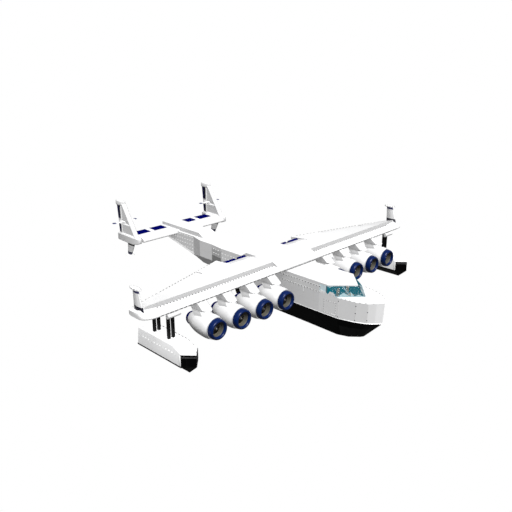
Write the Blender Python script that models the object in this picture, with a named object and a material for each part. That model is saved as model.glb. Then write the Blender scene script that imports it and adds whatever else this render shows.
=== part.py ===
"""Eight-engined jet flying boat with twin tail fins, made at half size.

The aircraft points its bow along -Y, its port wing along +X and its fins along +Z.
The origin lies on the ground under the middle of its length and span. Every size
below is that of the full-size aircraft in metres, and each finished mesh is scaled
by MODEL_SCALE at the end.
"""

import math

import bmesh
import bpy
from mathutils import Matrix, Vector

MODEL_SCALE = 0.5
FIT = 0.0006
SWING = 0.012
FLAT = 0.0001

# Heights above the ground
HULL_LINE = 2.9
SILL = 6.06
ROOF = 7.45
WING_UNDER = 7.63
NOSE_TOP = 8.3
WING_TOP = 8.8

# Fuselage
BODY_HALF = 3.0
COCKPIT_REAR = -15.7
CABIN_REAR = 5.0
TAIL_END = 22.85
COCKPIT_FLOOR = 4.2
COCKPIT_WALL = 0.3
GLASS = 0.08
ROOF_PLATE = 0.18

# Half widths of the bow by distance aft, at three levels: keel, hull line and sill
BOW_KEEL = ((0.0, -21.66), (0.5, -21.4), (0.9, -20.95), (1.63, -20.16), (2.19, -18.58), (2.1, -13.5))
BOW_LINE = ((0.0, -24.52), (0.75, -23.77), (1.5, -22.98), (2.22, -21.47), (2.93, -19.05), (3.0, -13.5))
BOW_SILL = ((0.0, -24.7), (0.95, -24.05), (1.82, -23.29), (2.58, -21.83), (3.0, -19.2))

# Windscreen corners, aft positions at the foot and at the head
SCREEN_FOOT_APEX = -21.59
SCREEN_FOOT_CORNER = -18.77
SCREEN_HEAD_APEX = -20.15
SCREEN_HEAD_CORNER = -17.12

# Aft fuselage: distance aft, half width, roof, lower side edge, bottom
AFT_SECTIONS = (
    (CABIN_REAR, 3.0, ROOF, 3.7, 2.95),
    (7.8, 2.65, ROOF, 4.6, 3.05),
    (11.0, 2.6, ROOF, 4.6, 3.25),
    (13.4, 1.95, ROOF, 4.15, 3.6),
    (20.2, 1.95, ROOF, 5.68, 5.25),
    (TAIL_END, 1.9, ROOF, 6.3, 5.9),
)
BOTTOM_SHARE = 0.72

# Planing bottom aft of the bow: distance aft, bottom half width, bottom height
STEP_AT = 1.0
KEEL_HALF = 2.0
AFTERBODY = ((STEP_AT - 0.3, 1.9, 0.75), (6.5, 1.4, 2.1))
AFTERBODY_TOP_HALF = 2.9

# Wing
WING_NOSE = -9.55
RIB = -7.8
SADDLE_HALF = 4.3
FLAP_COVE = -3.6
FLAP_END = 8.5
FLAP_TRAIL = -1.25
TIP_WEDGE = 25.2
TIP_START = 26.6
TIP_END = 28.2
TIP_NOSE = -8.15
TIP_REAR = -6.15
TIP_UNDER = 7.42
TIP_TOP = 8.12
# Turns of the rounded wing tip, where its sections stand
TIP_TURNS = (0.0, 30.0, 55.0, 75.0, 90.0)
SADDLE_TOP = 8.48
SADDLE_FLAT = (-3.2, -1.45)
SADDLE_REAR = -0.4
SADDLE_WALL = 3.6
WALL_RUN = 0.002
TRAIL_ROOT_AT = 9.0
TRAIL_ROOT = -0.05
TRAIL_SWEEP = 0.2734
TRAIL_TOP_ROOT = 8.05
TRAIL_TOP_TIP = 7.9
AILERON_SPAN = (13.6, 22.2)
AILERON_CHORD = 1.5
AILERON_GAP = 0.05
# Flaps: inboard end, outboard end
FLAPS = (("inner", 3.75, 5.85), ("outer", 5.95, 8.4))
FLAP_PINS = {"inner": (SADDLE_WALL + WALL_RUN, 5.9), "outer": (5.9, FLAP_END)}
FLAP_NOSE = 0.36
FLAP_MIDDLE = 8.0
FLAP_REAR_MIDDLE = 7.86
AILERON_NOSE = 0.18
PIN = 0.06

# Winglet sections: height, foremost point, rear edge, half thickness
WINGLET_X = 27.66
WINGLET_LEVELS = ((8.3, -8.35, -6.3, 0.22), (11.05, -7.4, -6.2, 0.16))
# Half the length and half the breadth of the winglet's end plate, its middle and its levels
PLATE_REACH = (1.1, 0.42)
PLATE_AT = -6.8
PLATE_Z = (11.0, 11.2)

# Engines
ENGINE_X = (6.2, 10.57, 14.9, 19.3)
ENGINE_AXIS = 4.57
LIP_FRONT = -12.75
COWL_FRONT = -11.95
COWL_REAR = -6.9
EXHAUST_REAR = -6.45
LIP_OUTER = 1.41
DUCT = 0.96
LINER = 0.08
CORE = 0.55
FAN_AT = -12.25
FAN_DEPTH = 0.34
BLADES = 12
BLADE_PITCH = math.radians(38.0)
BLADE_THICK = 0.035
BLADE_CHORD = 0.3
BLADE_ROOT = 0.25
TURN_STEPS = 24
CORE_STEPS = 12
# Cowl outline: distance aft, radius
COWL = (
    (COWL_FRONT, 1.5),
    (-11.2, 1.66),
    (-10.1, 1.63),
    (-9.0, 1.5),
    (-8.0, 1.27),
    (-7.2, 1.0),
    (COWL_REAR, 0.86),
)
NOZZLE = ((EXHAUST_REAR, 0.68), (EXHAUST_REAR, 0.62))
# Pylon sections: height, half width, where the round nose starts, rear end
PYLON = (
    (5.4, 0.95, -10.6, -8.5),
    (6.1, 0.88, -10.2, -7.93),
    (6.5, 0.78, -9.85, -7.6),
    (6.75, 0.8, -10.3, -7.4),
    (7.2, 0.8, -9.75, -7.03),
    (WING_UNDER - FIT, 0.8, -9.1, -6.68),
)
PYLON_NOSE_TURNS = (0.0, 30.0, 60.0, 90.0, 120.0, 150.0, 180.0)
PYLON_NOSE_REACH = 0.75

# Wing floats
FLOAT_X = 23.88
FLOAT_HALF = 1.46
FLOAT_REAR = -2.9
FLOAT_SHOULDER = -12.0
FLOAT_TIP = -13.5
FLOAT_DECK = 3.7
FLOAT_CHINE = 1.35
FLOAT_NOSE_TOP = 2.98
FLOAT_CAP = 0.1
TUBE_Y = -9.2
TUBE_Z = 7.12
TUBE_RADIUS = 0.3
TUBE_HALF = 1.0
STRUT_X = (-0.28, 0.41)
STRUT_Y = (-5.5, -8.55)
STRUT_SIDE = 0.36

# Tail
TAILPLANE_NOSE = 17.9
TAILPLANE_UNDER = 6.87
TAILPLANE_TOP = 7.62
ELEVATOR_AT = 20.75
ELEVATOR_REAR = 22.6
ELEVATOR_SPAN = (2.14, 8.42)
FIN_X = 9.7
FIN_HALF = 0.33
FIN_EDGE = 0.06
# Fin sections: height, foremost point, rear edge
FIN_LEVELS = ((7.61, 19.05, 24.2), (12.9, 22.37, 24.7), (13.36, 22.85, 24.7))
FIN_NOSE_TURNS = (0.0, 45.0, 90.0, 135.0, 180.0)
POD_HALF = 0.5
POD_UNDER = 6.25
POD_TOP = 7.66
# Outlines of the pod and the fin below it: distance aft, height
POD = ((18.1, 6.65), (18.1, POD_TOP), (24.3, POD_TOP), (24.45, 6.35), (20.0, POD_UNDER))
LOWER_FIN = ((19.9, 6.35), (22.0, 6.35), (22.2, 4.1), (21.1, 4.1))
RUDDER_AT = 23.45
RUDDER_NOSE = 0.18
ELEVATOR_NOSE = 0.22
# Elevator section behind its round nose: distance aft, height
ELEVATOR_SECTION = ((21.0, 7.6), (ELEVATOR_REAR, 7.6), (ELEVATOR_REAR, 7.3), (21.0, 6.92))
# Rudders: name, foot, head, trailing edge at the foot and at the head
RUDDERS = (("lower", 7.72, 9.26, 24.22, 24.4), ("upper", 10.2, 12.62, 24.4, 24.62))
STUB_Z = 10.05
STUB_HALF = 2.4
DORSAL_HALF = 1.5
DORSAL_TOP = 8.17

WHITE = (0.86, 0.87, 0.88)
BLACK = (0.012, 0.012, 0.014)
NAVY = (0.005, 0.02, 0.26)
TEAL = (0.05, 0.28, 0.32)
METAL = (0.23, 0.22, 0.19)
SEAT = (0.26, 0.13, 0.06)

SIDES = (("port", 1.0), ("starboard", -1.0))


def clear_scene():
    """Remove every object of the file that is open."""
    for item in list(bpy.data.objects):
        bpy.data.objects.remove(item, do_unlink=True)


def new_collection(name):
    """Return a new collection linked to the scene."""
    group = bpy.data.collections.new(name)
    bpy.context.scene.collection.children.link(group)
    return group


def paint(name, colour, roughness=0.4, metallic=0.0):
    """Return a Principled material of one colour."""
    material = bpy.data.materials.new(name)
    material.use_nodes = True
    shader = material.node_tree.nodes["Principled BSDF"]
    shader.inputs["Base Color"].default_value = (*colour, 1.0)
    shader.inputs["Roughness"].default_value = roughness
    shader.inputs["Metallic"].default_value = metallic
    material.diffuse_color = (*colour, 1.0)
    return material


def place(name, mesh, look, pivot=(0.0, 0.0, 0.0)):
    """Scale a full-size mesh, move its origin to the pivot and link it."""
    shift = Matrix.Translation(-Vector(pivot))
    mesh.transform(Matrix.Scale(MODEL_SCALE, 4) @ shift)
    mesh.name = name
    mesh.materials.clear()
    mesh.materials.append(paint(name, *look))
    item = bpy.data.objects.new(name, mesh)
    item.location = Vector(pivot) * MODEL_SCALE
    PARTS.objects.link(item)
    return item


def to_mesh(shape):
    """Turn a bmesh into a mesh with its faces pointing out."""
    bmesh.ops.recalc_face_normals(shape, faces=shape.faces)
    mesh = bpy.data.meshes.new("shape")
    shape.to_mesh(mesh)
    shape.free()
    return mesh


def bent(face):
    """Return whether a face's corners lie off one plane."""
    middle = face.calc_center_median()
    return any(abs((corner.co - middle).dot(face.normal)) > FLAT for corner in face.verts)


def loft(rings):
    """Skin rings of points that have the same count, and close both ends."""
    shape = bmesh.new()
    loops = [[shape.verts.new(point) for point in ring] for ring in rings]
    for near, far in zip(loops, loops[1:]):
        for i in range(len(near)):
            j = (i + 1) % len(near)
            shape.faces.new((near[i], near[j], far[j], far[i]))
    shape.faces.new(loops[0])
    shape.faces.new(loops[-1])
    shape.normal_update()
    bmesh.ops.triangulate(shape, faces=[face for face in shape.faces if bent(face)])
    return to_mesh(shape)


def box(low, high):
    """Return a box mesh between two corners."""
    shape = bmesh.new()
    middle = Matrix.Translation((Vector(low) + Vector(high)) / 2)
    size = Vector(high) - Vector(low)
    bmesh.ops.create_cube(shape, size=1.0, matrix=middle @ Matrix.Diagonal((*size, 1.0)))
    return to_mesh(shape)


def prism(outline, axis, start, end):
    """Extrude an outline of two coordinates along an axis of the world."""
    shape = bmesh.new()

    def point(pair, level):
        values = list(pair)
        values.insert(axis, level)
        return values

    base = shape.faces.new([shape.verts.new(point(pair, start)) for pair in outline])
    grown = bmesh.ops.extrude_face_region(shape, geom=[base])
    moved = [item for item in grown["geom"] if isinstance(item, bmesh.types.BMVert)]
    step = point((0.0, 0.0), end - start)
    bmesh.ops.translate(shape, verts=moved, vec=step)
    return to_mesh(shape)


def turned(profile, x, z, steps=TURN_STEPS):
    """Turn a closed outline of (distance aft, radius) about a fore-and-aft axis."""
    shape = bmesh.new()
    points = [shape.verts.new((x + radius, aft, z)) for aft, radius in profile]
    edges = [shape.edges.new((points[i], points[(i + 1) % len(points)])) for i in range(len(points))]
    bmesh.ops.spin(
        shape,
        geom=points + edges,
        cent=(x, 0.0, z),
        axis=(0.0, 1.0, 0.0),
        angle=math.tau,
        steps=steps,
        use_merge=True,
    )
    bmesh.ops.remove_doubles(shape, verts=shape.verts, dist=0.0001)
    return to_mesh(shape)


def rod(start, end, radius, segments=12):
    """Return a cylinder between two points."""
    along = Vector(end) - Vector(start)
    turn = along.to_track_quat("Z", "Y").to_matrix().to_4x4()
    shape = bmesh.new()
    bmesh.ops.create_cone(
        shape,
        cap_ends=True,
        segments=segments,
        radius1=radius,
        radius2=radius,
        depth=along.length,
        matrix=Matrix.Translation((Vector(start) + Vector(end)) / 2) @ turn,
    )
    return to_mesh(shape)


def joined(meshes):
    """Return one mesh that holds the given meshes side by side."""
    shape = bmesh.new()
    for mesh in meshes:
        shape.from_mesh(mesh)
        bpy.data.meshes.remove(mesh)
    mesh = bpy.data.meshes.new("group")
    shape.to_mesh(mesh)
    shape.free()
    return mesh


def combine(body, tool, operation):
    """Return the Boolean of two meshes, worked out by the exact solver."""
    target = bpy.data.objects.new("target", body)
    other = bpy.data.objects.new("tool", tool)
    other.hide_render = True
    other.display_type = "WIRE"
    for item in (target, other):
        CUTTERS.objects.link(item)
    modifier = target.modifiers.new("cut", "BOOLEAN")
    modifier.operation = operation
    modifier.solver = "EXACT"
    modifier.object = other
    bpy.context.view_layer.update()
    graph = bpy.context.evaluated_depsgraph_get()
    result = bpy.data.meshes.new_from_object(target.evaluated_get(graph))
    bpy.data.objects.remove(target, do_unlink=True)
    bpy.data.objects.remove(other, do_unlink=True)
    return result


def united(meshes):
    """Return the union of meshes that overlap one another."""
    body = meshes[0]
    for mesh in meshes[1:]:
        body = combine(body, mesh, "UNION")
    return body


def mirrored_ring(half, level):
    """Close a half outline of (half width, distance aft) with its mirror image."""
    right = [(x, y, level) for x, y in half]
    left = [(-x, y, level) for x, y in reversed(half) if x > 0.0]
    return right + left


def lerp(a, b, share):
    """Return the value a share of the way from a to b."""
    return a + (b - a) * share


def build_hull():
    """Make the black planing bottom, from the raked stem past the step."""
    step_top = (BODY_HALF, STEP_AT)
    low = mirrored_ring(BOW_KEEL + ((KEEL_HALF, STEP_AT),), 0.0)
    high = mirrored_ring(BOW_LINE + (step_top,), HULL_LINE - FIT)
    bow = loft((low, high))
    rings = []
    edge = AFTERBODY_TOP_HALF
    top = HULL_LINE - FIT
    for aft, half, bottom in AFTERBODY:
        rings.append(((-half, aft, bottom), (half, aft, bottom), (edge, aft, top), (-edge, aft, top)))
    tail = loft(rings)
    place("hull_bottom", combine(bow, tail, "UNION"), (BLACK, 0.3))


def screen_plan(apex, corner, inset, rear):
    """Return the V-shaped outline behind the windscreen, drawn in by an inset."""
    half = BODY_HALF - inset
    side = corner + inset
    return ((half, rear), (half, side), (0.0, apex + 1.4 * inset), (-half, side), (-half, rear))


def build_bow():
    """Make the white bow with its foredeck, hollow under the flight deck."""
    rear = (BODY_HALF, COCKPIT_REAR)
    low = mirrored_ring(BOW_LINE[:-1] + (rear,), HULL_LINE)
    high = mirrored_ring(BOW_SILL + (rear,), SILL)
    shell = loft((low, high))
    inside = screen_plan(SCREEN_FOOT_APEX, SCREEN_FOOT_CORNER, COCKPIT_WALL, COCKPIT_REAR - 0.2)
    hollow = prism(inside, 2, COCKPIT_FLOOR, SILL + 1.0)
    place("bow_shell", combine(shell, hollow, "DIFFERENCE"), (WHITE, 0.35))


def build_flight_deck():
    """Make the windscreen, roof plate, seats and instrument panel."""
    head = ROOF - ROOF_PLATE - FIT
    foot_line = screen_plan(SCREEN_FOOT_APEX, SCREEN_FOOT_CORNER, 0.0, COCKPIT_REAR - FIT)
    head_line = screen_plan(SCREEN_HEAD_APEX, SCREEN_HEAD_CORNER, 0.0, COCKPIT_REAR - FIT)
    foot_in = screen_plan(SCREEN_FOOT_APEX, SCREEN_FOOT_CORNER, GLASS, COCKPIT_REAR - FIT)
    head_in = screen_plan(SCREEN_HEAD_APEX, SCREEN_HEAD_CORNER, GLASS, COCKPIT_REAR - FIT)
    rings = []
    for outer_foot, outer_head, inner_head, inner_foot in zip(foot_line, head_line, head_in, foot_in):
        rings.append((
            (*outer_foot, SILL + FIT),
            (*outer_head, head),
            (*inner_head, head),
            (*inner_foot, SILL + FIT),
        ))
    place("windscreen", loft(rings), (TEAL, 0.05))
    roof = screen_plan(SCREEN_HEAD_APEX, SCREEN_HEAD_CORNER, 0.0, COCKPIT_REAR - FIT)
    place("flight_deck_roof", prism(roof, 2, ROOF - ROOF_PLATE, ROOF), (WHITE, 0.35))
    floor = COCKPIT_FLOOR + FIT
    outline = ((-20.1, floor), (-20.1, 5.75), (-19.6, 5.75), (-19.75, floor))
    place("instrument_panel", prism(outline, 0, -1.0, 1.0), (METAL, 0.5))
    deck = box((-1.9, -18.8, COCKPIT_FLOOR + FIT), (1.9, -16.1, COCKPIT_FLOOR + 0.2))
    pieces = [deck]
    for x in (-1.1, 1.1):
        pieces.append(box((x - 0.3, -18.2, COCKPIT_FLOOR + 0.1), (x + 0.3, -17.6, 4.9)))
        pieces.append(box((x - 0.5, -18.6, 4.85), (x + 0.5, -17.4, 5.1)))
        pieces.append(box((x - 0.5, -17.6, 5.05), (x + 0.5, -17.3, 6.5)))
    place("pilot_seats", united(pieces), (SEAT, 0.6))


def build_fuselage():
    """Make the cabin, the tapering aft body and the spine in front of the fins."""
    cabin = box((-BODY_HALF, COCKPIT_REAR + FIT, HULL_LINE), (BODY_HALF, CABIN_REAR - FIT, ROOF))
    place("fuselage_mid", cabin, (WHITE, 0.35))
    rings = []
    for aft, half, roof, edge, bottom in AFT_SECTIONS:
        base = half * BOTTOM_SHARE
        rings.append((
            (-base, aft, bottom),
            (base, aft, bottom),
            (half, aft, edge),
            (half, aft, roof),
            (-half, aft, roof),
            (-half, aft, edge),
        ))
    body = loft(rings)
    seat = box((-4.0, TAILPLANE_NOSE - FIT, TAILPLANE_UNDER - FIT), (4.0, TAIL_END + 1.0, 9.0))
    place("fuselage_aft", combine(body, seat, "DIFFERENCE"), (WHITE, 0.35))
    outline = (
        (11.3, ROOF + FIT),
        (12.4, DORSAL_TOP),
        (TAIL_END, DORSAL_TOP),
        (TAIL_END, TAILPLANE_TOP + FIT),
        (TAILPLANE_NOSE - FIT, TAILPLANE_TOP + FIT),
        (TAILPLANE_NOSE - FIT, ROOF + FIT),
    )
    place("tail_spine", prism(outline, 0, -DORSAL_HALF, DORSAL_HALF), (WHITE, 0.35))


def trail_at(x):
    """Return how far aft the trailing edge lies at a distance from the centreline."""
    return TRAIL_ROOT - TRAIL_SWEEP * (x - TRAIL_ROOT_AT)


def trail_top(x):
    """Return the height of the trailing edge's upper corner."""
    return lerp(TRAIL_TOP_ROOT, TRAIL_TOP_TIP, (x - TRAIL_ROOT_AT) / (TIP_END - TRAIL_ROOT_AT))


def skin_height(x, aft):
    """Return the height of the wing's upper skin behind the rib."""
    share = (aft - RIB) / (trail_at(x) - RIB)
    return lerp(WING_TOP, trail_top(x), share)


def wing_ring(x, rear, step=True):
    """Return one chordwise section of the wing, with or without its nose recess."""
    nose_rear = NOSE_TOP if step else lerp(NOSE_TOP, WING_TOP, 0.97)
    return [
        (WING_NOSE, WING_UNDER),
        (WING_NOSE, NOSE_TOP),
        (RIB - 0.01, nose_rear),
        (RIB, WING_TOP),
        (rear, skin_height(x, rear)),
        (rear, WING_UNDER),
    ]


def tip_station(turn):
    """Return the distance out and the section where the rounded tip has turned so far."""
    reach = TIP_END - TIP_START
    x = TIP_START + reach * math.sin(turn)
    share = 1.0 - math.cos(turn)
    nose = TIP_NOSE - (TIP_NOSE - WING_NOSE) * math.cos(turn)
    under = lerp(WING_UNDER, TIP_UNDER, share)
    top = lerp(WING_TOP, TIP_TOP, share)
    rear = lerp(trail_at(TIP_START), TIP_REAR, share)
    rear_top = lerp(trail_top(TIP_START), TIP_TOP - 0.02, share)
    nose_top = lerp(NOSE_TOP, TIP_TOP - 0.1, share)
    return x, [
        (nose, under),
        (nose, nose_top),
        (RIB - 0.01, lerp(nose_top, top, 0.97)),
        (RIB, top),
        (rear, rear_top),
        (rear, under),
    ]


def saddle_ring(outer):
    """Return the centre section's outline, beside the flaps or over the fuselage."""
    slope = (WING_TOP - SADDLE_TOP) / (SADDLE_FLAT[0] - RIB)
    if outer:
        edge = FLAP_COVE - 0.02
        rear = [
            (edge, WING_TOP - slope * (edge - RIB)),
            (FLAP_COVE - 0.01, 8.3),
            (FLAP_COVE - 0.005, 8.0),
            (FLAP_COVE, WING_UNDER),
        ]
        foot = WING_UNDER
    else:
        rear = [
            (SADDLE_FLAT[0], SADDLE_TOP),
            (SADDLE_FLAT[1], SADDLE_TOP),
            (SADDLE_REAR, ROOF + 0.35),
            (SADDLE_REAR, ROOF + FIT),
        ]
        foot = ROOF + FIT
    return [(WING_NOSE, foot), (WING_NOSE, NOSE_TOP), (RIB, WING_TOP), *rear]


def build_wings():
    """Make the centre section, both outer wings and the winglets."""
    stations = (
        (-SADDLE_HALF, True),
        (-SADDLE_WALL - WALL_RUN, True),
        (-SADDLE_WALL, False),
        (SADDLE_WALL, False),
        (SADDLE_WALL + WALL_RUN, True),
        (SADDLE_HALF, True),
    )
    rings = [[(x, y, z) for y, z in saddle_ring(outer)] for x, outer in stations]
    place("wing_centre", loft(rings), (WHITE, 0.35))
    tip_in, tip_out = AILERON_SPAN
    stations = (
        (SADDLE_HALF + FIT, FLAP_COVE, True),
        (FLAP_END, FLAP_COVE, True),
        (FLAP_END + FIT, trail_at(FLAP_END), True),
        (tip_in - FIT, trail_at(tip_in), True),
        (tip_in, trail_at(tip_in) - AILERON_CHORD, True),
        (tip_out, trail_at(tip_out) - AILERON_CHORD, True),
        (tip_out + FIT, trail_at(tip_out), True),
        (TIP_WEDGE, trail_at(TIP_WEDGE), True),
        (TIP_WEDGE + 0.02, trail_at(TIP_WEDGE), False),
    )
    sections = [(x, wing_ring(x, rear, step)) for x, rear, step in stations]
    sections += [tip_station(math.radians(turn)) for turn in TIP_TURNS]
    for side, sign in SIDES:
        rings = [[(sign * x, y, z) for y, z in section] for x, section in sections]
        place(f"wing_{side}", loft(rings), (WHITE, 0.35))
        build_winglet(side, sign)


def build_winglet(side, sign):
    """Make a winglet with its rounded end plate."""
    x = sign * WINGLET_X
    rings = []
    for level, nose, rear, half in WINGLET_LEVELS:
        front = ((-half, nose + half), (-half / 2, nose), (half / 2, nose), (half, nose + half))
        sides = (*front, (half / 2, rear), (-half / 2, rear))
        rings.append([(x + across, aft, level) for across, aft in sides])
    turns = [i * math.tau / 16 for i in range(16)]
    reach, breadth = PLATE_REACH
    plate = [(x + breadth * math.sin(turn), PLATE_AT - reach * math.cos(turn)) for turn in turns]
    blade = combine(loft(rings), prism(plate, 2, *PLATE_Z), "UNION")
    wing = bpy.data.objects[f"wing_{side}"].data.copy()
    wing.transform(Matrix.Scale(1.0 / MODEL_SCALE, 4))
    wing.transform(Matrix.Translation((0.0, 0.0, FIT)))
    place(f"winglet_{side}", combine(blade, wing, "DIFFERENCE"), (WHITE, 0.35))


def hinged_section(hinge, rear, middle, nose, rear_middle=None):
    """Return a section with a round nose about the hinge and a thin rear edge."""
    tail = middle if rear_middle is None else rear_middle
    arc = []
    for i in range(7):
        turn = math.pi * (i / 6)
        arc.append((hinge - nose * math.sin(turn), middle - nose * math.cos(turn)))
    return arc + [(rear, tail + 0.06), (rear, tail - 0.06)]


def hinged(name, rings, pins, look, pivot):
    """Place a moving surface with its hinge pin, which runs between two seats."""
    pin = rod(pins[0], pins[1], PIN, 8)
    place(name, combine(loft(rings), pin, "UNION"), look, pivot)


def build_flaps():
    """Make the flaps beside the fuselage and the ailerons near the wing tips."""
    hinge = FLAP_COVE + FLAP_NOSE + SWING
    middle = FLAP_MIDDLE
    section = hinged_section(hinge, FLAP_TRAIL, middle, FLAP_NOSE, FLAP_REAR_MIDDLE)
    for side, sign in SIDES:
        for name, inner, outer in FLAPS:
            rings = [[(sign * x, y, z) for y, z in section] for x in (inner, outer)]
            seats = (FLAP_PINS[name][0] + FIT, FLAP_PINS[name][1] - FIT)
            pins = [(sign * x, hinge, middle) for x in seats]
            hinged(f"flap_{name}_{side}", rings, pins, (WHITE, 0.35), (sign * inner, hinge, middle))
        build_aileron(side, sign)


def aileron_hinge(x):
    """Return how far aft the aileron's hinge line lies."""
    return trail_at(x) - AILERON_CHORD + AILERON_NOSE + 2 * SWING


def build_aileron(side, sign):
    """Make an aileron, whose hinge line follows the swept trailing edge."""
    middle = WING_UNDER + 0.22
    inner, outer = (AILERON_SPAN[0] + AILERON_GAP, AILERON_SPAN[1] - AILERON_GAP)
    rings = []
    for x in (inner, outer):
        section = hinged_section(aileron_hinge(x), trail_at(x), middle, AILERON_NOSE)
        rings.append([(sign * x, y, z) for y, z in section])
    bevel = FIT + PIN * TRAIL_SWEEP
    seats = (AILERON_SPAN[0] + bevel, AILERON_SPAN[1] - bevel)
    pins = [(sign * x, aileron_hinge(x), middle) for x in seats]
    hinged(f"aileron_{side}", rings, pins, (WHITE, 0.35), (sign * inner, aileron_hinge(inner), middle))


def build_engine(number, x):
    """Make one engine: cowl with pylon, intake and core, and the turning fan."""
    z = ENGINE_AXIS
    bore = DUCT + LINER + FIT
    cowl = turned([*COWL, *NOZZLE, (-9.0, bore), (COWL_FRONT, bore)], x, z)
    rings = []
    for level, half, nose, rear in PYLON:
        turns = [math.radians(turn) for turn in PYLON_NOSE_TURNS]
        front = [(half * math.cos(turn), nose - PYLON_NOSE_REACH * math.sin(turn)) for turn in turns]
        outline = [*front, (-half / 2, rear), (half / 2, rear)]
        rings.append([(x + across, aft, level) for across, aft in outline])
    hollow = turned(((-11.9, 0.02), (-11.9, 1.4), (-9.0, 1.3), (-8.0, 1.1), (-7.2, 0.02)), x, z)
    pylon = combine(loft(rings), hollow, "DIFFERENCE")
    place(f"nacelle_{number}", combine(cowl, pylon, "UNION"), (WHITE, 0.35))
    lip = (
        (LIP_FRONT + 0.2, DUCT),
        (LIP_FRONT, 1.1),
        (LIP_FRONT, 1.25),
        (LIP_FRONT + 0.25, LIP_OUTER),
        (COWL_FRONT - FIT, LIP_OUTER + 0.03),
        (COWL_FRONT - FIT, DUCT + LINER),
        (-10.4, DUCT + LINER),
        (-10.4, DUCT),
    )
    core_front = FAN_AT + FAN_DEPTH + FIT
    core = (
        (core_front, 0.02),
        (core_front, CORE - 0.1),
        (core_front + 0.3, CORE),
        (-7.4, CORE),
        (EXHAUST_REAR, 0.3),
        (EXHAUST_REAR, 0.02),
    )
    spokes = joined([
        box((x - DUCT - 0.04, -10.7, z - 0.04), (x + DUCT + 0.04, -10.5, z + 0.04)),
        box((x - 0.04, -10.7, z + 0.3), (x + 0.04, -10.5, z + DUCT + 0.04)),
        box((x - 0.04, -10.7, z - DUCT - 0.04), (x + 0.04, -10.5, z - 0.3)),
    ])
    inner = combine(turned(core, x, z, CORE_STEPS), spokes, "UNION")
    place(f"engine_{number}", combine(inner, turned(lip, x, z), "UNION"), (NAVY, 0.25))
    build_fan(number, x, z)


def build_fan(number, x, z):
    """Make a fan of flat pitched blades round a pointed spinner."""
    hub = (
        (FAN_AT - 0.45, 0.02),
        (FAN_AT - 0.2, 0.2),
        (FAN_AT, 0.3),
        (FAN_AT + FAN_DEPTH, 0.32),
        (FAN_AT + FAN_DEPTH, 0.02),
    )
    blades = []
    reach = DUCT - 0.03
    pitch = Matrix.Rotation(BLADE_PITCH, 4, "Z")
    for i in range(BLADES):
        shape = bmesh.new()
        bmesh.ops.create_cube(shape, size=1.0)
        bmesh.ops.scale(shape, vec=(BLADE_THICK, BLADE_CHORD, reach - BLADE_ROOT), verts=shape.verts)
        outward = Matrix.Translation((0.0, FAN_AT + FAN_DEPTH / 2, (reach + BLADE_ROOT) / 2))
        turn = Matrix.Rotation(i * math.tau / BLADES, 4, "Y")
        shape.transform(Matrix.Translation((x, 0.0, z)) @ turn @ outward @ pitch)
        blades.append(to_mesh(shape))
    body = combine(turned(hub, x, z, CORE_STEPS), joined(blades), "UNION")
    place(f"fan_{number}", body, (METAL, 0.35, 0.7), (x, FAN_AT, z))


def build_float(side, sign):
    """Make one wing float: its white body and deck, and its black bottom and bow."""
    x = sign * FLOAT_X
    shoulder = FLOAT_SHOULDER - FIT
    outline = (
        (FLOAT_REAR, FLOAT_CHINE + FIT),
        (FLOAT_REAR, FLOAT_DECK - 0.15),
        (FLOAT_REAR - 0.15, FLOAT_DECK),
        (-10.3, FLOAT_DECK),
        (FLOAT_SHOULDER, FLOAT_NOSE_TOP + FLOAT_CAP),
        (FLOAT_SHOULDER, FLOAT_CHINE + FIT),
    )
    body = prism(outline, 0, x - FLOAT_HALF, x + FLOAT_HALF)
    plan = (
        (x - FLOAT_HALF, FLOAT_SHOULDER + 0.3),
        (x - FLOAT_HALF, FLOAT_SHOULDER),
        (x, FLOAT_TIP),
        (x + FLOAT_HALF, FLOAT_SHOULDER),
        (x + FLOAT_HALF, FLOAT_SHOULDER + 0.3),
    )
    cap = prism(plan, 2, FLOAT_NOSE_TOP + FIT, FLOAT_NOSE_TOP + FLOAT_CAP)
    place(f"float_{side}", combine(body, cap, "UNION"), (WHITE, 0.35))
    rings = []
    for aft, half, top, keel in (
        (FLOAT_REAR, FLOAT_HALF, FLOAT_CHINE, 0.5),
        (FLOAT_REAR - 1.5, FLOAT_HALF, FLOAT_CHINE, 0.0),
        (shoulder, FLOAT_HALF, FLOAT_CHINE, 0.0),
        (FLOAT_TIP, 0.06, FLOAT_CHINE + 0.15, FLOAT_CHINE - 0.02),
    ):
        rings.append(((x - half, aft, top), (x + half, aft, top), (x, aft, keel)))
    bow = []
    for tip_level, level in ((1.4, 1.2), (FLOAT_NOSE_TOP, FLOAT_NOSE_TOP)):
        corners = [(x + half, shoulder, level) for half in (-FLOAT_HALF, FLOAT_HALF)]
        bow.append((*corners, (x, FLOAT_TIP, tip_level)))
    place(f"float_bottom_{side}", combine(loft(rings), loft(bow), "UNION"), (BLACK, 0.3))


def build_float_struts(side, sign):
    """Make the four struts of a float with the fairing box and tube that carry them."""
    x = sign * FLOAT_X
    pieces = [box((x - 0.9, -9.0, 7.25), (x + 0.9, -5.1, WING_UNDER - FIT))]
    for dx in STRUT_X:
        for y in STRUT_Y:
            middle = x + sign * dx
            low = (middle - STRUT_SIDE / 2, y - STRUT_SIDE / 2, FLOAT_DECK + FIT)
            high = (middle + STRUT_SIDE / 2, y + STRUT_SIDE / 2, 7.4)
            pieces.append(box(low, high))
    ends = [(x + reach, TUBE_Y, TUBE_Z) for reach in (-TUBE_HALF, TUBE_HALF)]
    pieces.append(rod(*ends, TUBE_RADIUS))
    pieces.append(box((x - 0.5, TUBE_Y, TUBE_Z), (x + 0.5, -8.8, 7.5)))
    place(f"float_struts_{side}", united(pieces), (BLACK, 0.4))


def build_floats():
    """Make the wing floats and the struts that carry them."""
    for side, sign in SIDES:
        build_float(side, sign)
        build_float_struts(side, sign)


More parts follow.
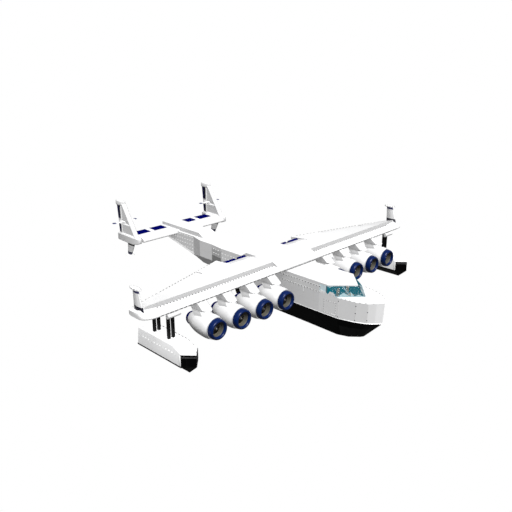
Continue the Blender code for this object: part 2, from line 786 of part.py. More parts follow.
def build_tailplane():
    """Make the tailplane, cut back for the elevators, and the elevators."""
    span = FIN_X - POD_HALF - FIT
    inner, outer = ELEVATOR_SPAN
    outline = (
        (TAILPLANE_NOSE, TAILPLANE_UNDER),
        (TAILPLANE_NOSE, TAILPLANE_TOP),
        (ELEVATOR_REAR, TAILPLANE_TOP),
        (ELEVATOR_REAR, TAILPLANE_UNDER + 0.2),
    )
    plane = prism(outline, 0, -span, span)
    cove = ELEVATOR_AT - ELEVATOR_NOSE - SWING
    for sign in (1.0, -1.0):
        low, high = sorted((sign * (inner - SWING), sign * (outer + SWING)))
        plane = combine(plane, box((low, cove, 6.0), (high, ELEVATOR_REAR + 1.0, 9.0)), "DIFFERENCE")
    place("tailplane", plane, (WHITE, 0.35))
    middle = (TAILPLANE_TOP + TAILPLANE_UNDER) / 2
    for side, sign in SIDES:
        nose = hinged_section(ELEVATOR_AT, ELEVATOR_REAR, middle, ELEVATOR_NOSE)[:-2]
        section = [*nose, *ELEVATOR_SECTION]
        rings = [[(sign * x, y, z) for y, z in section] for x in (inner, outer)]
        pins = [(sign * x, ELEVATOR_AT, middle) for x in (inner - SWING + FIT, outer + SWING - FIT)]
        hinged(f"elevator_{side}", rings, pins, (NAVY, 0.3), (sign * inner, ELEVATOR_AT, middle))


def fin_blade(x):
    """Return a fin with a round nose and a thin rear edge."""
    rings = []
    for level, nose, rear in FIN_LEVELS:
        turns = [math.radians(turn) for turn in FIN_NOSE_TURNS]
        centre = nose + FIN_HALF
        arc = [(x + FIN_HALF * math.cos(turn), centre - FIN_HALF * math.sin(turn)) for turn in turns]
        outline = [*arc, (x - FIN_EDGE, rear), (x + FIN_EDGE, rear)]
        rings.append([(across, aft, level) for across, aft in outline])
    return loft(rings)


def build_fins():
    """Make the twin fins with their pods, stub planes and lower fins, and the rudders."""
    for side, sign in SIDES:
        x = sign * FIN_X
        pod = prism(POD, 0, x - POD_HALF, x + POD_HALF)
        bullet = rod((x, 21.8, STUB_Z - 0.35), (x, 24.35, STUB_Z - 0.35), 0.34)
        stub = box((x - STUB_HALF, 22.2, STUB_Z - 0.2), (x + STUB_HALF, 23.0, STUB_Z - 0.06))
        lower = prism(LOWER_FIN, 0, x - 0.2, x + 0.2)
        disc = rod((x, 21.6, 3.95), (x, 21.6, 4.15), 0.75, 16)
        cutters = []
        for _, foot, head, _, _ in RUDDERS:
            cove = RUDDER_AT - RUDDER_NOSE - SWING
            cutters.append(box((x - 1.0, cove, foot - SWING), (x + 1.0, 26.0, head + SWING)))
        fin = combine(fin_blade(x), joined(cutters), "DIFFERENCE")
        fin = united([fin, pod, bullet, stub, lower, disc])
        place(f"fin_{side}", fin, (WHITE, 0.35))
        for name, foot, head, foot_rear, head_rear in RUDDERS:
            rings = []
            for level, rear in ((foot, foot_rear), (head, head_rear)):
                section = hinged_section(RUDDER_AT, rear, x, RUDDER_NOSE)
                rings.append([(across, y, level) for y, across in section])
            pins = [(x, RUDDER_AT, level) for level in (foot - SWING + FIT, head + SWING - FIT)]
            hinged(f"rudder_{name}_{side}", rings, pins, (NAVY, 0.3), (x, RUDDER_AT, foot))


def main():
    """Build every part of the aircraft."""
    build_hull()
    build_bow()
    build_flight_deck()
    build_fuselage()
    build_wings()
    build_flaps()
    places = [-x for x in reversed(ENGINE_X)] + list(ENGINE_X)
    for number, x in enumerate(places, start=1):
        build_engine(number, x)
    build_floats()
    build_tailplane()
    build_fins()


clear_scene()
PARTS = new_collection("flying_boat")
CUTTERS = new_collection("cutters")
main()
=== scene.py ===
import logging
import math
from collections.abc import Callable, Sequence
from dataclasses import dataclass, replace
from enum import Enum

import bmesh
import bpy
from mathutils import Matrix, Vector


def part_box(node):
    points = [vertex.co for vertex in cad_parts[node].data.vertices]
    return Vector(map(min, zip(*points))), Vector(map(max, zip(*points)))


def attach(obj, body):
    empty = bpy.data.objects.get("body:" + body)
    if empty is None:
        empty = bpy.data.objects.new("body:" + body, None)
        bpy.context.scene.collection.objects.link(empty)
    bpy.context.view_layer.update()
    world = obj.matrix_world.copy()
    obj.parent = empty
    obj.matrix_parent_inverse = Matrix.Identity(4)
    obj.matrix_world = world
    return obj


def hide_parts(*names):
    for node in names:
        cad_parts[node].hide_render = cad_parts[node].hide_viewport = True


# Looks of the eight-engined jet flying boat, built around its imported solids. Sizes in the
# classes are those of the full-size aircraft, in metres, and keep() brings every finished
# mesh to the model's size. The bow points along -Y and the port wing along +X.

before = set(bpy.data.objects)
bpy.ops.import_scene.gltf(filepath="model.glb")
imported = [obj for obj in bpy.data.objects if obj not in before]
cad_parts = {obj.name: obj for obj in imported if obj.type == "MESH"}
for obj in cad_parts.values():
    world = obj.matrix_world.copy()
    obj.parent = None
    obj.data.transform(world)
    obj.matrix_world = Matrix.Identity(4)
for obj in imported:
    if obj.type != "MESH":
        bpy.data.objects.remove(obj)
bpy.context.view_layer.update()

LOG = logging.getLogger("flying_boat")
MODEL_SCALE = 0.5
SIDES = (("port", 1.0), ("starboard", -1.0))
MIRROR = Matrix.Diagonal((-1.0, 1.0, 1.0, 1.0))
UP = Vector((0.0, 0.0, 1.0))
AIRFRAME = "airframe"

Place = tuple[float, float, float]
Pair = tuple[float, float]
Colour = tuple[float, float, float]
Socket = bpy.types.NodeSocket
Piece = bpy.types.Object


class Slot(Enum):
    """Material slots of the record."""

    WHITE = "white_paint"
    BLACK = "black_paint"
    NAVY = "navy_paint"
    METAL = "bare_metal"
    GLASS = "tinted_glass"
    COVER = "seat_cover"


# Modelling


class Bench:
    """Steps of hand modelling on one open mesh at a time, in full-size metres."""

    @staticmethod
    def clear() -> None:
        """Leave edit mode and deselect everything."""
        if bpy.context.mode != "OBJECT":
            bpy.ops.object.mode_set(mode="OBJECT")
        bpy.ops.object.select_all(action="DESELECT")

    @staticmethod
    def hold(*pieces: Piece) -> None:
        """Select some pieces alone and make the first one active.

        Args:
            *pieces: The pieces, the one to be active first.
        """
        Bench.clear()
        for piece in pieces:
            piece.select_set(True)
        bpy.context.view_layer.objects.active = pieces[0]

    @staticmethod
    def rename(piece: Piece, name: str) -> Piece:
        """Give a piece and its mesh a name.

        Args:
            piece: The piece.
            name: Its name.

        Returns:
            The same piece.
        """
        piece.name = name
        piece.data.name = name
        return piece

    @staticmethod
    def discard(*pieces: Piece) -> None:
        """Remove patterns and tools that are used up."""
        for piece in pieces:
            bpy.data.objects.remove(piece, do_unlink=True)

    @staticmethod
    def start(name: str, place: Sequence[float]) -> Piece:
        """Open a new mesh as one selected vertex.

        Args:
            name: Name of the piece and of its mesh.
            place: Where the vertex stands.

        Returns:
            The new object, in edit mode.
        """
        Bench.clear()
        bpy.ops.mesh.primitive_plane_add(size=0.1, location=(0.0, 0.0, 0.0))
        piece = Bench.rename(bpy.context.object, name)
        bpy.ops.object.mode_set(mode="EDIT")
        bpy.ops.mesh.select_mode(type="VERT")
        bpy.ops.mesh.select_all(action="SELECT")
        bpy.ops.mesh.merge(type="CENTER")
        bpy.ops.transform.translate(value=place)
        return piece

    @staticmethod
    def pick(piece: Piece, test: Callable[[Vector], bool]) -> None:
        """Select the vertices of the open mesh whose places pass a test.

        Args:
            piece: The open piece.
            test: Says whether a place is picked.
        """
        bpy.ops.mesh.select_mode(type="VERT")
        corners = bmesh.from_edit_mesh(piece.data).verts
        Bench.pick_numbers(piece, [number for number, corner in enumerate(corners) if test(corner.co)])

    @staticmethod
    def pick_numbers(piece: Piece, numbers: Sequence[int]) -> None:
        """Select vertices of the open mesh by their numbers.

        Args:
            piece: The open piece.
            numbers: Numbers of the vertices.
        """
        bpy.ops.mesh.select_all(action="DESELECT")
        shape = bmesh.from_edit_mesh(piece.data)
        shape.verts.ensure_lookup_table()
        for number in numbers:
            shape.verts[number].select_set(True)
        shape.select_flush_mode()
        bmesh.update_edit_mesh(piece.data)

    @staticmethod
    def draw(piece: Piece, points: Sequence[Sequence[float]], filled: bool = True) -> None:
        """Draw a closed outline from the open mesh's single vertex.

        Args:
            piece: The open piece, whose only vertex is the outline's first point.
            points: Corners of the outline, in order.
            filled: Whether the outline gets a face.
        """
        for near, far in zip(points, points[1:]):
            step = Vector(far) - Vector(near)
            bpy.ops.mesh.extrude_vertices_move(TRANSFORM_OT_translate={"value": step})
        ends = (Vector(points[0]), Vector(points[-1]))
        Bench.pick(piece, lambda place: min((place - end).length for end in ends) < 1e-5)
        bpy.ops.mesh.edge_face_add()
        bpy.ops.mesh.select_all(action="SELECT")
        if filled:
            bpy.ops.mesh.edge_face_add()

    @staticmethod
    def settle(piece: Piece, now: list[Vector], goal: list[Vector]) -> None:
        """Move the newest ring of vertices from where it is to where it belongs.

        Args:
            piece: The open piece.
            now: Present places of the ring's vertices.
            goal: Wanted places, in the same order.
        """
        shape = bmesh.from_edit_mesh(piece.data)
        shape.verts.ensure_lookup_table()
        total = len(shape.verts)
        newest = range(total - len(now), total)
        moves: dict[tuple[float, ...], list[int]] = {}
        for number in newest:
            place = shape.verts[number].co
            nearest = min(range(len(now)), key=lambda i: (now[i] - place).length_squared)
            step = goal[nearest] - now[nearest]
            moves.setdefault(tuple(round(value, 6) for value in step), []).append(number)
        for step, numbers in moves.items():
            if Vector(step).length >= 1e-6:
                Bench.pick_numbers(piece, numbers)
                bpy.ops.transform.translate(value=step)
        Bench.pick_numbers(piece, newest)

    @staticmethod
    def close() -> None:
        """Turn every face of the open mesh outwards and leave it."""
        bpy.ops.mesh.select_all(action="SELECT")
        bpy.ops.mesh.normals_make_consistent(inside=False)
        Bench.clear()

    @staticmethod
    def loft(name: str, rings: Sequence[Sequence[Sequence[float]]]) -> Piece:
        """Extrude an outline through a series of rings with the same count of points.

        Args:
            name: Name of the piece.
            rings: Outlines, from one end of the piece to the other.

        Returns:
            The closed piece, in object mode.
        """
        piece = Bench.start(name, rings[0][0])
        Bench.draw(piece, rings[0])
        last = [Vector(point) for point in rings[0]]
        for ring in rings[1:]:
            goal = [Vector(point) for point in ring]
            shift = goal[0] - last[0]
            bpy.ops.mesh.extrude_region_move(TRANSFORM_OT_translate={"value": shift})
            Bench.settle(piece, [point + shift for point in last], goal)
            last = goal
        Bench.close()
        return piece

    @staticmethod
    def prism(name: str, points: Sequence[Sequence[float]], run: Sequence[float]) -> Piece:
        """Extrude a flat outline along a run.

        Args:
            name: Name of the piece.
            points: Corners of the outline.
            run: Direction and length of the extrusion.

        Returns:
            The closed piece, in object mode.
        """
        piece = Bench.start(name, points[0])
        Bench.draw(piece, points)
        bpy.ops.mesh.extrude_region_move(TRANSFORM_OT_translate={"value": run})
        Bench.close()
        return piece

    @staticmethod
    def turned(name: str, profile: Sequence[Pair], steps: int, x: float = 0.0, z: float = 0.0) -> Piece:
        """Spin a closed profile about a fore-and-aft axis.

        Args:
            name: Name of the piece.
            profile: Points of (distance aft, radius).
            steps: Number of steps round the turn.
            x: The axis's distance to port.
            z: The axis's height.

        Returns:
            The closed piece, in object mode.
        """
        points = [(x + radius, aft, z) for aft, radius in profile]
        piece = Bench.start(name, points[0])
        Bench.draw(piece, points, filled=False)
        bpy.ops.mesh.select_all(action="SELECT")
        bpy.ops.mesh.spin(steps=steps, angle=math.tau, center=(x, 0.0, z), axis=(0.0, 1.0, 0.0))
        bpy.ops.mesh.select_all(action="SELECT")
        bpy.ops.mesh.remove_doubles(threshold=0.0005)
        bpy.ops.mesh.select_all(action="SELECT")
        bpy.ops.mesh.dissolve_degenerate(threshold=0.0001)
        Bench.close()
        return piece

    @staticmethod
    def turned_up(name: str, profile: Sequence[Pair], steps: int, x: float = 0.0, aft: float = 0.0) -> Piece:
        """Spin a closed profile about an upright axis.

        Args:
            name: Name of the piece.
            profile: Points of (height, radius).
            steps: Number of steps round the turn.
            x: The axis's distance to port.
            aft: The axis's distance aft.

        Returns:
            The closed piece, in object mode.
        """
        piece = Bench.turned(name, profile, steps)
        piece.data.transform(Matrix.Translation((x, aft, 0.0)) @ Matrix.Rotation(math.pi / 2, 4, "X"))
        return piece

    @staticmethod
    def modify(piece: Piece, kind: str, **settings: object) -> Piece:
        """Apply a modifier of a kind to a piece, with its settings.

        Args:
            piece: The piece.
            kind: The modifier's kind.
            **settings: Its properties.

        Returns:
            The same piece.
        """
        modifier = piece.modifiers.new(kind.lower(), kind)
        for name, value in settings.items():
            setattr(modifier, name, value)
        Bench.hold(piece)
        bpy.ops.object.modifier_apply(modifier=modifier.name)
        return piece

    @staticmethod
    def bevel(piece: Piece, width: float) -> Piece:
        """Round the edges of a piece where it turns by more than 30 degrees."""
        limit = math.radians(30.0)
        return Bench.modify(piece, "BEVEL", width=width, segments=2, limit_method="ANGLE", angle_limit=limit)

    @staticmethod
    def cut(piece: Piece, tool: Piece) -> Piece:
        """Cut a piece with a tool, which is used up.

        Args:
            piece: The piece to cut.
            tool: The shape to take away.

        Returns:
            The same piece.
        """
        Bench.modify(piece, "BOOLEAN", operation="DIFFERENCE", solver="EXACT", object=tool)
        Bench.discard(tool)
        return piece

    @staticmethod
    def join(name: str, pieces: Sequence[Piece]) -> Piece:
        """Join pieces of one assembly into one object of several closed bodies.

        Args:
            name: Name of the result.
            pieces: The pieces to join.

        Returns:
            The first piece, which holds them all.
        """
        Bench.hold(*pieces)
        if len(pieces) > 1:
            bpy.ops.object.join()
        return Bench.rename(pieces[0], name)

    @staticmethod
    def copy(piece: Piece, name: str, move: Matrix) -> Piece:
        """Return a copy of a piece with its own mesh, moved by a matrix.

        Args:
            piece: The piece to copy.
            name: The copy's name.
            move: Where the copy goes.

        Returns:
            The copy.
        """
        twin = piece.copy()
        twin.data = piece.data.copy()
        Bench.rename(twin, name)
        twin.data.transform(move)
        if move.determinant() < 0.0:
            twin.data.flip_normals()
        bpy.context.scene.collection.objects.link(twin)
        return twin

    @staticmethod
    def spread(pattern: Piece, moves: Sequence[Matrix]) -> list[Piece]:
        """Return copies of a pattern, one for each move, in place of the pattern.

        Args:
            pattern: The piece to copy.
            moves: Where the copies go.

        Returns:
            The copies.
        """
        copies = [Bench.copy(pattern, pattern.name, move) for move in moves]
        Bench.discard(pattern)
        return copies

    @staticmethod
    def smooth(piece: Piece, angle: float) -> Piece:
        """Shade a piece smooth, apart from edges sharper than an angle in degrees.

        Args:
            piece: The piece.
            angle: The limit, in degrees.

        Returns:
            The same piece.
        """
        Bench.hold(piece)
        bpy.ops.object.shade_smooth_by_angle(angle=math.radians(angle))
        return piece

    @staticmethod
    def finish(piece: Piece) -> Piece:
        """Bring a full-size piece to the model's size, with its origin in the middle.

        Args:
            piece: The piece, at full size.

        Returns:
            The same piece, at the model's size.
        """
        Bench.hold(piece)
        piece.scale = (MODEL_SCALE, MODEL_SCALE, MODEL_SCALE)
        bpy.ops.object.transform_apply(location=True, rotation=True, scale=True)
        piece.select_set(False)
        return piece


def lerp(a: float, b: float, share: float) -> float:
    """Return the value a share of the way from a to b."""
    return a + (b - a) * share


def curve_through(points: Sequence[Pair], steps: int) -> list[Pair]:
    """Return a smooth line of points through the given ones.

    Args:
        points: Places that the line passes.
        steps: Number of points for each stretch.

    Returns:
        The finer line, from the first place to the last.
    """
    line = []
    for i in range(len(points) - 1):
        before, after = points[max(i - 1, 0)], points[min(i + 2, len(points) - 1)]
        for step in range(steps):
            t = step / steps
            line.append(tuple(
                0.5 * (2 * b + (c - a) * t + (2 * a - 5 * b + 4 * c - d) * t**2 + (3 * b - a - 3 * c + d) * t**3)
                for a, b, c, d in zip(before, points[i], points[i + 1], after)
            ))
    line.append(tuple(points[-1]))
    return line


def rounded_nose(nose: float, under: float, top: float, low: Pair, high: Pair) -> list[Pair]:
    """Return the rounded front of a wing's section, from its underside to its top.

    Args:
        nose: How far aft the foremost point lies.
        under: Height of the underside.
        top: Height of the top.
        low: How far the lower round reaches aft and how tall it is.
        high: The same for the upper round.

    Returns:
        Points of (distance aft, height).
    """
    line = []
    for level, (reach, tall), way, turns in (
        (under, low, 1.0, (90.0, 60.0, 30.0, 0.0)),
        (top, high, -1.0, (0.0, 22.5, 45.0, 67.5, 90.0)),
    ):
        for turn in turns:
            angle = math.radians(turn)
            line.append((nose + reach * (1.0 - math.cos(angle)), level + way * tall * (1.0 - math.sin(angle))))
    return line


def both_sides(nose: float, side: Sequence[Pair]) -> list[Pair]:
    """Return a plan with a pointed nose, from the port side's (distance out, distance aft)."""
    return [(0.0, nose), *[(-across, aft) for across, aft in side], *reversed(side)]


def at_level(points: Sequence[Pair], level: float, x: float = 0.0) -> list[Place]:
    """Set a plan of (distance out, distance aft) at a height."""
    return [(x + across, aft, level) for across, aft in points]


def at_side(points: Sequence[Pair], x: float) -> list[Place]:
    """Set a side view of (distance aft, height) at a distance to port."""
    return [(x, aft, level) for aft, level in points]


def at_frame(points: Sequence[Pair], aft: float, x: float = 0.0) -> list[Place]:
    """Set a front view of (distance out, height) at a distance aft."""
    return [(x + across, aft, level) for across, level in points]


# Finishes


class Wires:
    """Nodes of one tree and the links between them."""

    def __init__(self, tree: bpy.types.NodeTree) -> None:
        """Keep the tree that the nodes go in."""
        self.tree = tree

    def node(self, kind: str, **settings: object) -> bpy.types.Node:
        """Add a node and set its properties.

        Args:
            kind: The node's type.
            **settings: Its properties.

        Returns:
            The node.
        """
        made = self.tree.nodes.new(kind)
        for name, value in settings.items():
            setattr(made, name, value)
        return made

    def feed(self, socket: Socket, value: object) -> None:
        """Link a socket to an input, or set the input's own value.

        Args:
            socket: The input.
            value: A socket to link, or a plain value.
        """
        if isinstance(value, bpy.types.NodeSocket):
            self.tree.links.new(value, socket)
        else:
            socket.default_value = value

    def fill(self, node: bpy.types.Node, values: dict[str, object]) -> None:
        """Feed inputs of a node by their names."""
        for name, value in values.items():
            self.feed(node.inputs[name], value)

    def math(self, operation: str, *values: object) -> Socket:
        """Add a math node and return its output.

        Args:
            operation: The node's operation.
            *values: Sockets or numbers.

        Returns:
            The result.
        """
        made = self.node("ShaderNodeMath", operation=operation)
        for socket, value in zip(made.inputs, values):
            self.feed(socket, value)
        return made.outputs[0]

    def times(self, first: object, second: object) -> Socket:
        """Multiply two values."""
        return self.math("MULTIPLY", first, second)

    def mix(self, share: object, first: object, second: object) -> Socket:
        """Mix two colours by a share and return the result.

        Args:
            share: Share of the second.
            first: A colour.
            second: Another colour.

        Returns:
            The mixed colour.
        """
        made = self.node("ShaderNodeMix", data_type="RGBA")
        self.feed(made.inputs[0], share)
        for number, colour in ((6, first), (7, second)):
            self.feed(made.inputs[number], (*colour, 1.0) if isinstance(colour, tuple) else colour)
        return made.outputs[2]

    def ramp(self, value: object, low: float, high: float, start: float, end: float) -> Socket:
        """Map a value smoothly from one range to another.

        Args:
            value: The value.
            low: Its least.
            high: Its most.
            start: Result at the least.
            end: Result at the most.

        Returns:
            The result.
        """
        made = self.node("ShaderNodeMapRange", interpolation_type="SMOOTHSTEP")
        for socket, number in zip(made.inputs, (value, low, high, start, end)):
            self.feed(socket, number)
        return made.outputs[0]

    def noise(self, place: Socket, scale: object, detail: float) -> Socket:
        """Return a noise value at a place.

        Args:
            place: Where it is taken.
            scale: How fine it is.
            detail: How rough it is.

        Returns:
            The noise.
        """
        made = self.node("ShaderNodeTexNoise")
        self.fill(made, {"Vector": place, "Scale": scale, "Detail": detail})
        return made.outputs["Fac"]

    def parts(self, vector: Socket) -> tuple[Socket, Socket, Socket]:
        """Return the three numbers of a vector.

        Args:
            vector: The vector.

        Returns:
            Its parts along X, Y and Z.
        """
        made = self.node("ShaderNodeSeparateXYZ")
        self.feed(made.inputs[0], vector)
        return made.outputs[0], made.outputs[1], made.outputs[2]

    def stretch(self, vector: Socket, scale: Place) -> Socket:
        """Return a vector with its parts scaled.

        Args:
            vector: The vector.
            scale: Factors along X, Y and Z.

        Returns:
            The scaled vector.
        """
        made = self.node("ShaderNodeVectorMath", operation="MULTIPLY")
        self.feed(made.inputs[0], vector)
        self.feed(made.inputs[1], scale)
        return made.outputs[0]


class SharedEffects:
    """Node groups that several finishes use, each built once."""

    def __init__(self) -> None:
        """Build the groups."""
        self.seams = self.build_seams()
        self.weather = self.build_weather()

    @staticmethod
    def group(name: str, inputs: dict[str, float | Place], outputs: Sequence[str]) -> tuple:
        """Start a node group.

        Args:
            name: The group's name.
            inputs: Name and value of each input, a number or a vector.
            outputs: Names of the outputs, all numbers.

        Returns:
            The group, its wires, its inputs and its output node.
        """
        tree = bpy.data.node_groups.new(name, "ShaderNodeTree")
        for title, value in inputs.items():
            kind = "NodeSocketVector" if isinstance(value, tuple) else "NodeSocketFloat"
            tree.interface.new_socket(name=title, in_out="INPUT", socket_type=kind).default_value = value
        for title in outputs:
            tree.interface.new_socket(name=title, in_out="OUTPUT", socket_type="NodeSocketFloat")
        wires = Wires(tree)
        return tree, wires, wires.node("NodeGroupInput").outputs, wires.node("NodeGroupOutput")

    def build_seams(self) -> bpy.types.NodeTree:
        """Build the group that draws sheet seams and rows of rivets on flat skins.

        Returns:
            The group's tree.
        """
        inputs = {
            "Place": (0.0, 0.0, 0.0), "Facing": (0.0, 0.0, 1.0), "Pitch Across": 1.0, "Pitch Along": 1.0,
            "Pitch Up": 1.0, "Width": 0.006, "Rivet Pitch": 0.06,
        }
        tree, wires, given, leave = self.group("sheet_seams", inputs, ("Seam", "Rivet", "Height"))
        place = wires.parts(given["Place"])
        facing = [wires.math("ABSOLUTE", part) for part in wires.parts(given["Facing"])]
        width = given["Width"]
        rivet_half = wires.times(width, 0.8)
        flat = wires.math("GREATER_THAN", facing[2], 0.7)
        upright = wires.times(place[2], wires.math("SUBTRACT", 1.0, flat))
        beside = wires.math("ADD", wires.times(place[0], flat), upright)
        seam = rivet = None
        for number, pitch in enumerate(("Pitch Across", "Pitch Along", "Pitch Up")):
            shown = wires.math("LESS_THAN", facing[number], 0.75)
            away = wires.math("PINGPONG", place[number], wires.times(given[pitch], 0.5))
            line = wires.times(wires.math("LESS_THAN", away, width), shown)
            near = wires.math("COMPARE", away, wires.times(width, 3.5), rivet_half)
            other = place[1] if number != 1 else beside
            step = wires.math("PINGPONG", other, wires.times(given["Rivet Pitch"], 0.5))
            dot = wires.times(wires.times(wires.math("LESS_THAN", step, rivet_half), near), shown)
            seam = line if seam is None else wires.math("MAXIMUM", seam, line)
            rivet = dot if rivet is None else wires.math("MAXIMUM", rivet, dot)
        height = wires.math("SUBTRACT", wires.times(rivet, 0.6), seam)
        wires.fill(leave, {"Seam": seam, "Rivet": rivet, "Height": height})
        return tree

    def build_weather(self) -> bpy.types.NodeTree:
        """Build the group that clouds a paint's tone, streaks it and scuffs its gloss.

        Returns:
            The group's tree.
        """
        inputs = {"Place": (0.0, 0.0, 0.0), "Cloud Size": 1.5, "Grain Size": 60.0}
        tree, wires, given, leave = self.group("weather", inputs, ("Cloud", "Streak", "Grain"))
        place = given["Place"]
        cloud = wires.noise(place, given["Cloud Size"], 5.0)
        streak = wires.noise(wires.stretch(place, (9.0, 9.0, 0.7)), 1.0, 4.0)
        wires.fill(leave, {
            "Cloud": wires.ramp(cloud, 0.35, 0.7, 0.0, 1.0),
            "Streak": wires.ramp(streak, 0.5, 0.78, 0.0, 1.0),
            "Grain": wires.noise(place, given["Grain Size"], 2.0),
        })
        return tree


EVERYWHERE: Pair = (-100.0, 100.0)


@dataclass(frozen=True)
class Mark:
    """A field of another colour, on both sides of the aircraft: mostly paint; a few are painted shade and one is
    painted light.

    The ranges are in full-size metres: away from the centreline, aft and up.
    """

    colour: Colour
    across: Pair = EVERYWHERE
    along: Pair = EVERYWHERE
    up: Pair = EVERYWHERE


@dataclass(frozen=True)
class Finish:
    """A painted or metal surface with its seams, weathering and marks."""

    name: str
    colour: Colour
    roughness: float = 0.4
    metallic: float = 0.0
    coat: float = 0.0
    shade: Colour = (0.6, 0.6, 0.58)
    cloud: float = 0.06
    streak: float = 0.05
    grain: float = 0.03
    grain_size: float = 60.0
    pitch: Place = (2.0, 2.0, 1.2)
    seam: float = 0.0
    seam_width: float = 0.006
    rivet_pitch: float = 0.07
    marks: tuple[Mark, ...] = ()
    specular: float = 0.5

    def darker(self, share: float) -> Colour:
        """Return the colour cut to a share of its light."""
        return tuple(part * share for part in self.colour)


class PaintShop:
    """Turns finishes into materials, each made once."""

    def __init__(self) -> None:
        """Build the shared effects."""
        self.effects = SharedEffects()
        self.made: dict[str, bpy.types.Material] = {}

    @staticmethod
    def blank(name: str) -> tuple[bpy.types.Material, Wires, bpy.types.Node]:
        """Return a new material with its wires and its shader.

        Args:
            name: Name of the material.

        Returns:
            The material, its wires and its shader.
        """
        made = bpy.data.materials.new(name)
        made.use_nodes = True
        return made, Wires(made.node_tree), made.node_tree.nodes["Principled BSDF"]

    @staticmethod
    def use(wires: Wires, tree: bpy.types.NodeTree, values: dict[str, object]) -> bpy.types.NodeOutputs:
        """Place a shared effect in a material with its own values.

        Args:
            wires: Wires of the material.
            tree: The effect's group.
            values: Its inputs by name.

        Returns:
            The effect's outputs.
        """
        made = wires.node("ShaderNodeGroup", node_tree=tree)
        wires.fill(made, values)
        return made.outputs

    @staticmethod
    def field(wires: Wires, place: tuple[Socket, Socket, Socket], mark: Mark) -> Socket:
        """Return the mask of a mark.

        Args:
            wires: Wires of the material.
            place: Object coordinates in parts.
            mark: The mark.

        Returns:
            The mask, 1 inside the mark.
        """
        mask = None
        parts = (wires.math("ABSOLUTE", place[0]), place[1], place[2])
        for part, (low, high) in zip(parts, (mark.across, mark.along, mark.up)):
            if (low, high) == EVERYWHERE:
                continue
            middle, half = (low + high) / 2 * MODEL_SCALE, (high - low) / 2 * MODEL_SCALE
            inside = wires.math("COMPARE", part, middle, half)
            mask = inside if mask is None else wires.times(mask, inside)
        return mask

    def seamed(
        self, wires: Wires, finish: Finish, place: Socket, facing: Socket, colour: Socket, height: Socket,
    ) -> tuple[Socket, Socket]:
        """Draw a finish's seams and rivets.

        Args:
            wires: Wires of the material.
            finish: What the surface is like.
            place: Object coordinates.
            facing: The surface's normal.
            colour: The colour before the seams.
            height: The relief before the seams.

        Returns:
            The colour and the relief with the seams.
        """
        across, along, up = (pitch * MODEL_SCALE for pitch in finish.pitch)
        seams = self.use(wires, self.effects.seams, {
            "Place": place, "Facing": facing, "Pitch Across": across, "Pitch Along": along, "Pitch Up": up,
            "Width": finish.seam_width, "Rivet Pitch": finish.rivet_pitch,
        })
        colour = wires.mix(wires.times(seams["Seam"], finish.seam), colour, finish.shade)
        colour = wires.mix(wires.times(seams["Rivet"], finish.seam * 0.6), colour, finish.shade)
        return colour, wires.math("ADD", height, seams["Height"])

    def material(self, finish: Finish) -> bpy.types.Material:
        """Return the material of a finish.

        Args:
            finish: What the surface is like.

        Returns:
            Its procedural material.
        """
        if finish.name in self.made:
            return self.made[finish.name]
        made, wires, shader = self.blank(finish.name)
        coordinates = wires.node("ShaderNodeTexCoord").outputs
        place = coordinates["Object"]
        weather = self.use(wires, self.effects.weather, {"Place": place, "Grain Size": finish.grain_size})
        colour = finish.colour
        for mark in finish.marks:
            colour = wires.mix(self.field(wires, wires.parts(place), mark), colour, mark.colour)
        colour = wires.mix(wires.times(weather["Cloud"], finish.cloud), colour, finish.darker(0.55))
        colour = wires.mix(wires.times(weather["Streak"], finish.streak), colour, finish.shade)
        height = wires.times(weather["Grain"], 0.12)
        if finish.seam > 0.0:
            colour, height = self.seamed(wires, finish, place, coordinates["Normal"], colour, height)
        # Diffuse bounce rays see the paint at a tenth of its colour: painted shade that takes most of the light bounced
        # between parts away, so recesses and the places between parts stay darker.
        bounced = wires.node("ShaderNodeLightPath").outputs["Is Diffuse Ray"]
        bump = wires.node("ShaderNodeBump")
        wires.fill(bump, {"Strength": 0.25, "Distance": 0.004, "Height": height})
        wires.fill(shader, {
            "Base Color": wires.mix(bounced, colour, finish.darker(0.1)),
            "Normal": bump.outputs[0],
            "Roughness": wires.math(
                "MULTIPLY_ADD", weather["Grain"], finish.grain * 4.0, finish.roughness - finish.grain * 2.0,
            ),
            "Metallic": finish.metallic,
            "Coat Weight": finish.coat,
            "Coat Roughness": 0.08,
            "Specular IOR Level": finish.specular,
        })
        made.diffuse_color = (*finish.colour, 1.0)
        self.made[finish.name] = made
        return made

    def glass(self, name: str, colour: Colour, clear: float) -> bpy.types.Material:
        """Return a tinted glass with faint smears.

        Args:
            name: The material's name.
            colour: The tint.
            clear: How much light passes, from 0 to 1.

        Returns:
            The material.
        """
        made, wires, shader = self.blank(name)
        place = wires.node("ShaderNodeTexCoord").outputs["Object"]
        weather = self.use(wires, self.effects.weather, {"Place": place, "Cloud Size": 4.0, "Grain Size": 25.0})
        smeared = tuple(part * 0.7 for part in colour)
        wires.fill(shader, {
            "Base Color": wires.mix(wires.times(weather["Cloud"], 0.35), colour, smeared),
            "Roughness": wires.ramp(weather["Grain"], 0.3, 0.8, 0.04, 0.12),
            "Alpha": wires.ramp(weather["Cloud"], 0.0, 1.0, 1.0 - clear, 1.0 - 0.9 * clear),
            "Specular IOR Level": 0.02,
        })
        made.diffuse_color = (*colour, 1.0)
        return made


SHOP = PaintShop()

OFF_WHITE: Colour = (0.88, 0.88, 0.885)
# SNOW is the same white paint as OFF_WHITE made brighter: painted light that keeps the bow, the floats, the wing and
# the winglets at full white under the key light.
SNOW: Colour = (0.97, 0.97, 0.975)
DEEP_NAVY: Colour = (0.0, 0.001, 0.085)
NAVY_SHEEN: Colour = (0.0, 0.003, 0.1)
BAR_NAVY: Colour = (0.01, 0.02, 0.12)

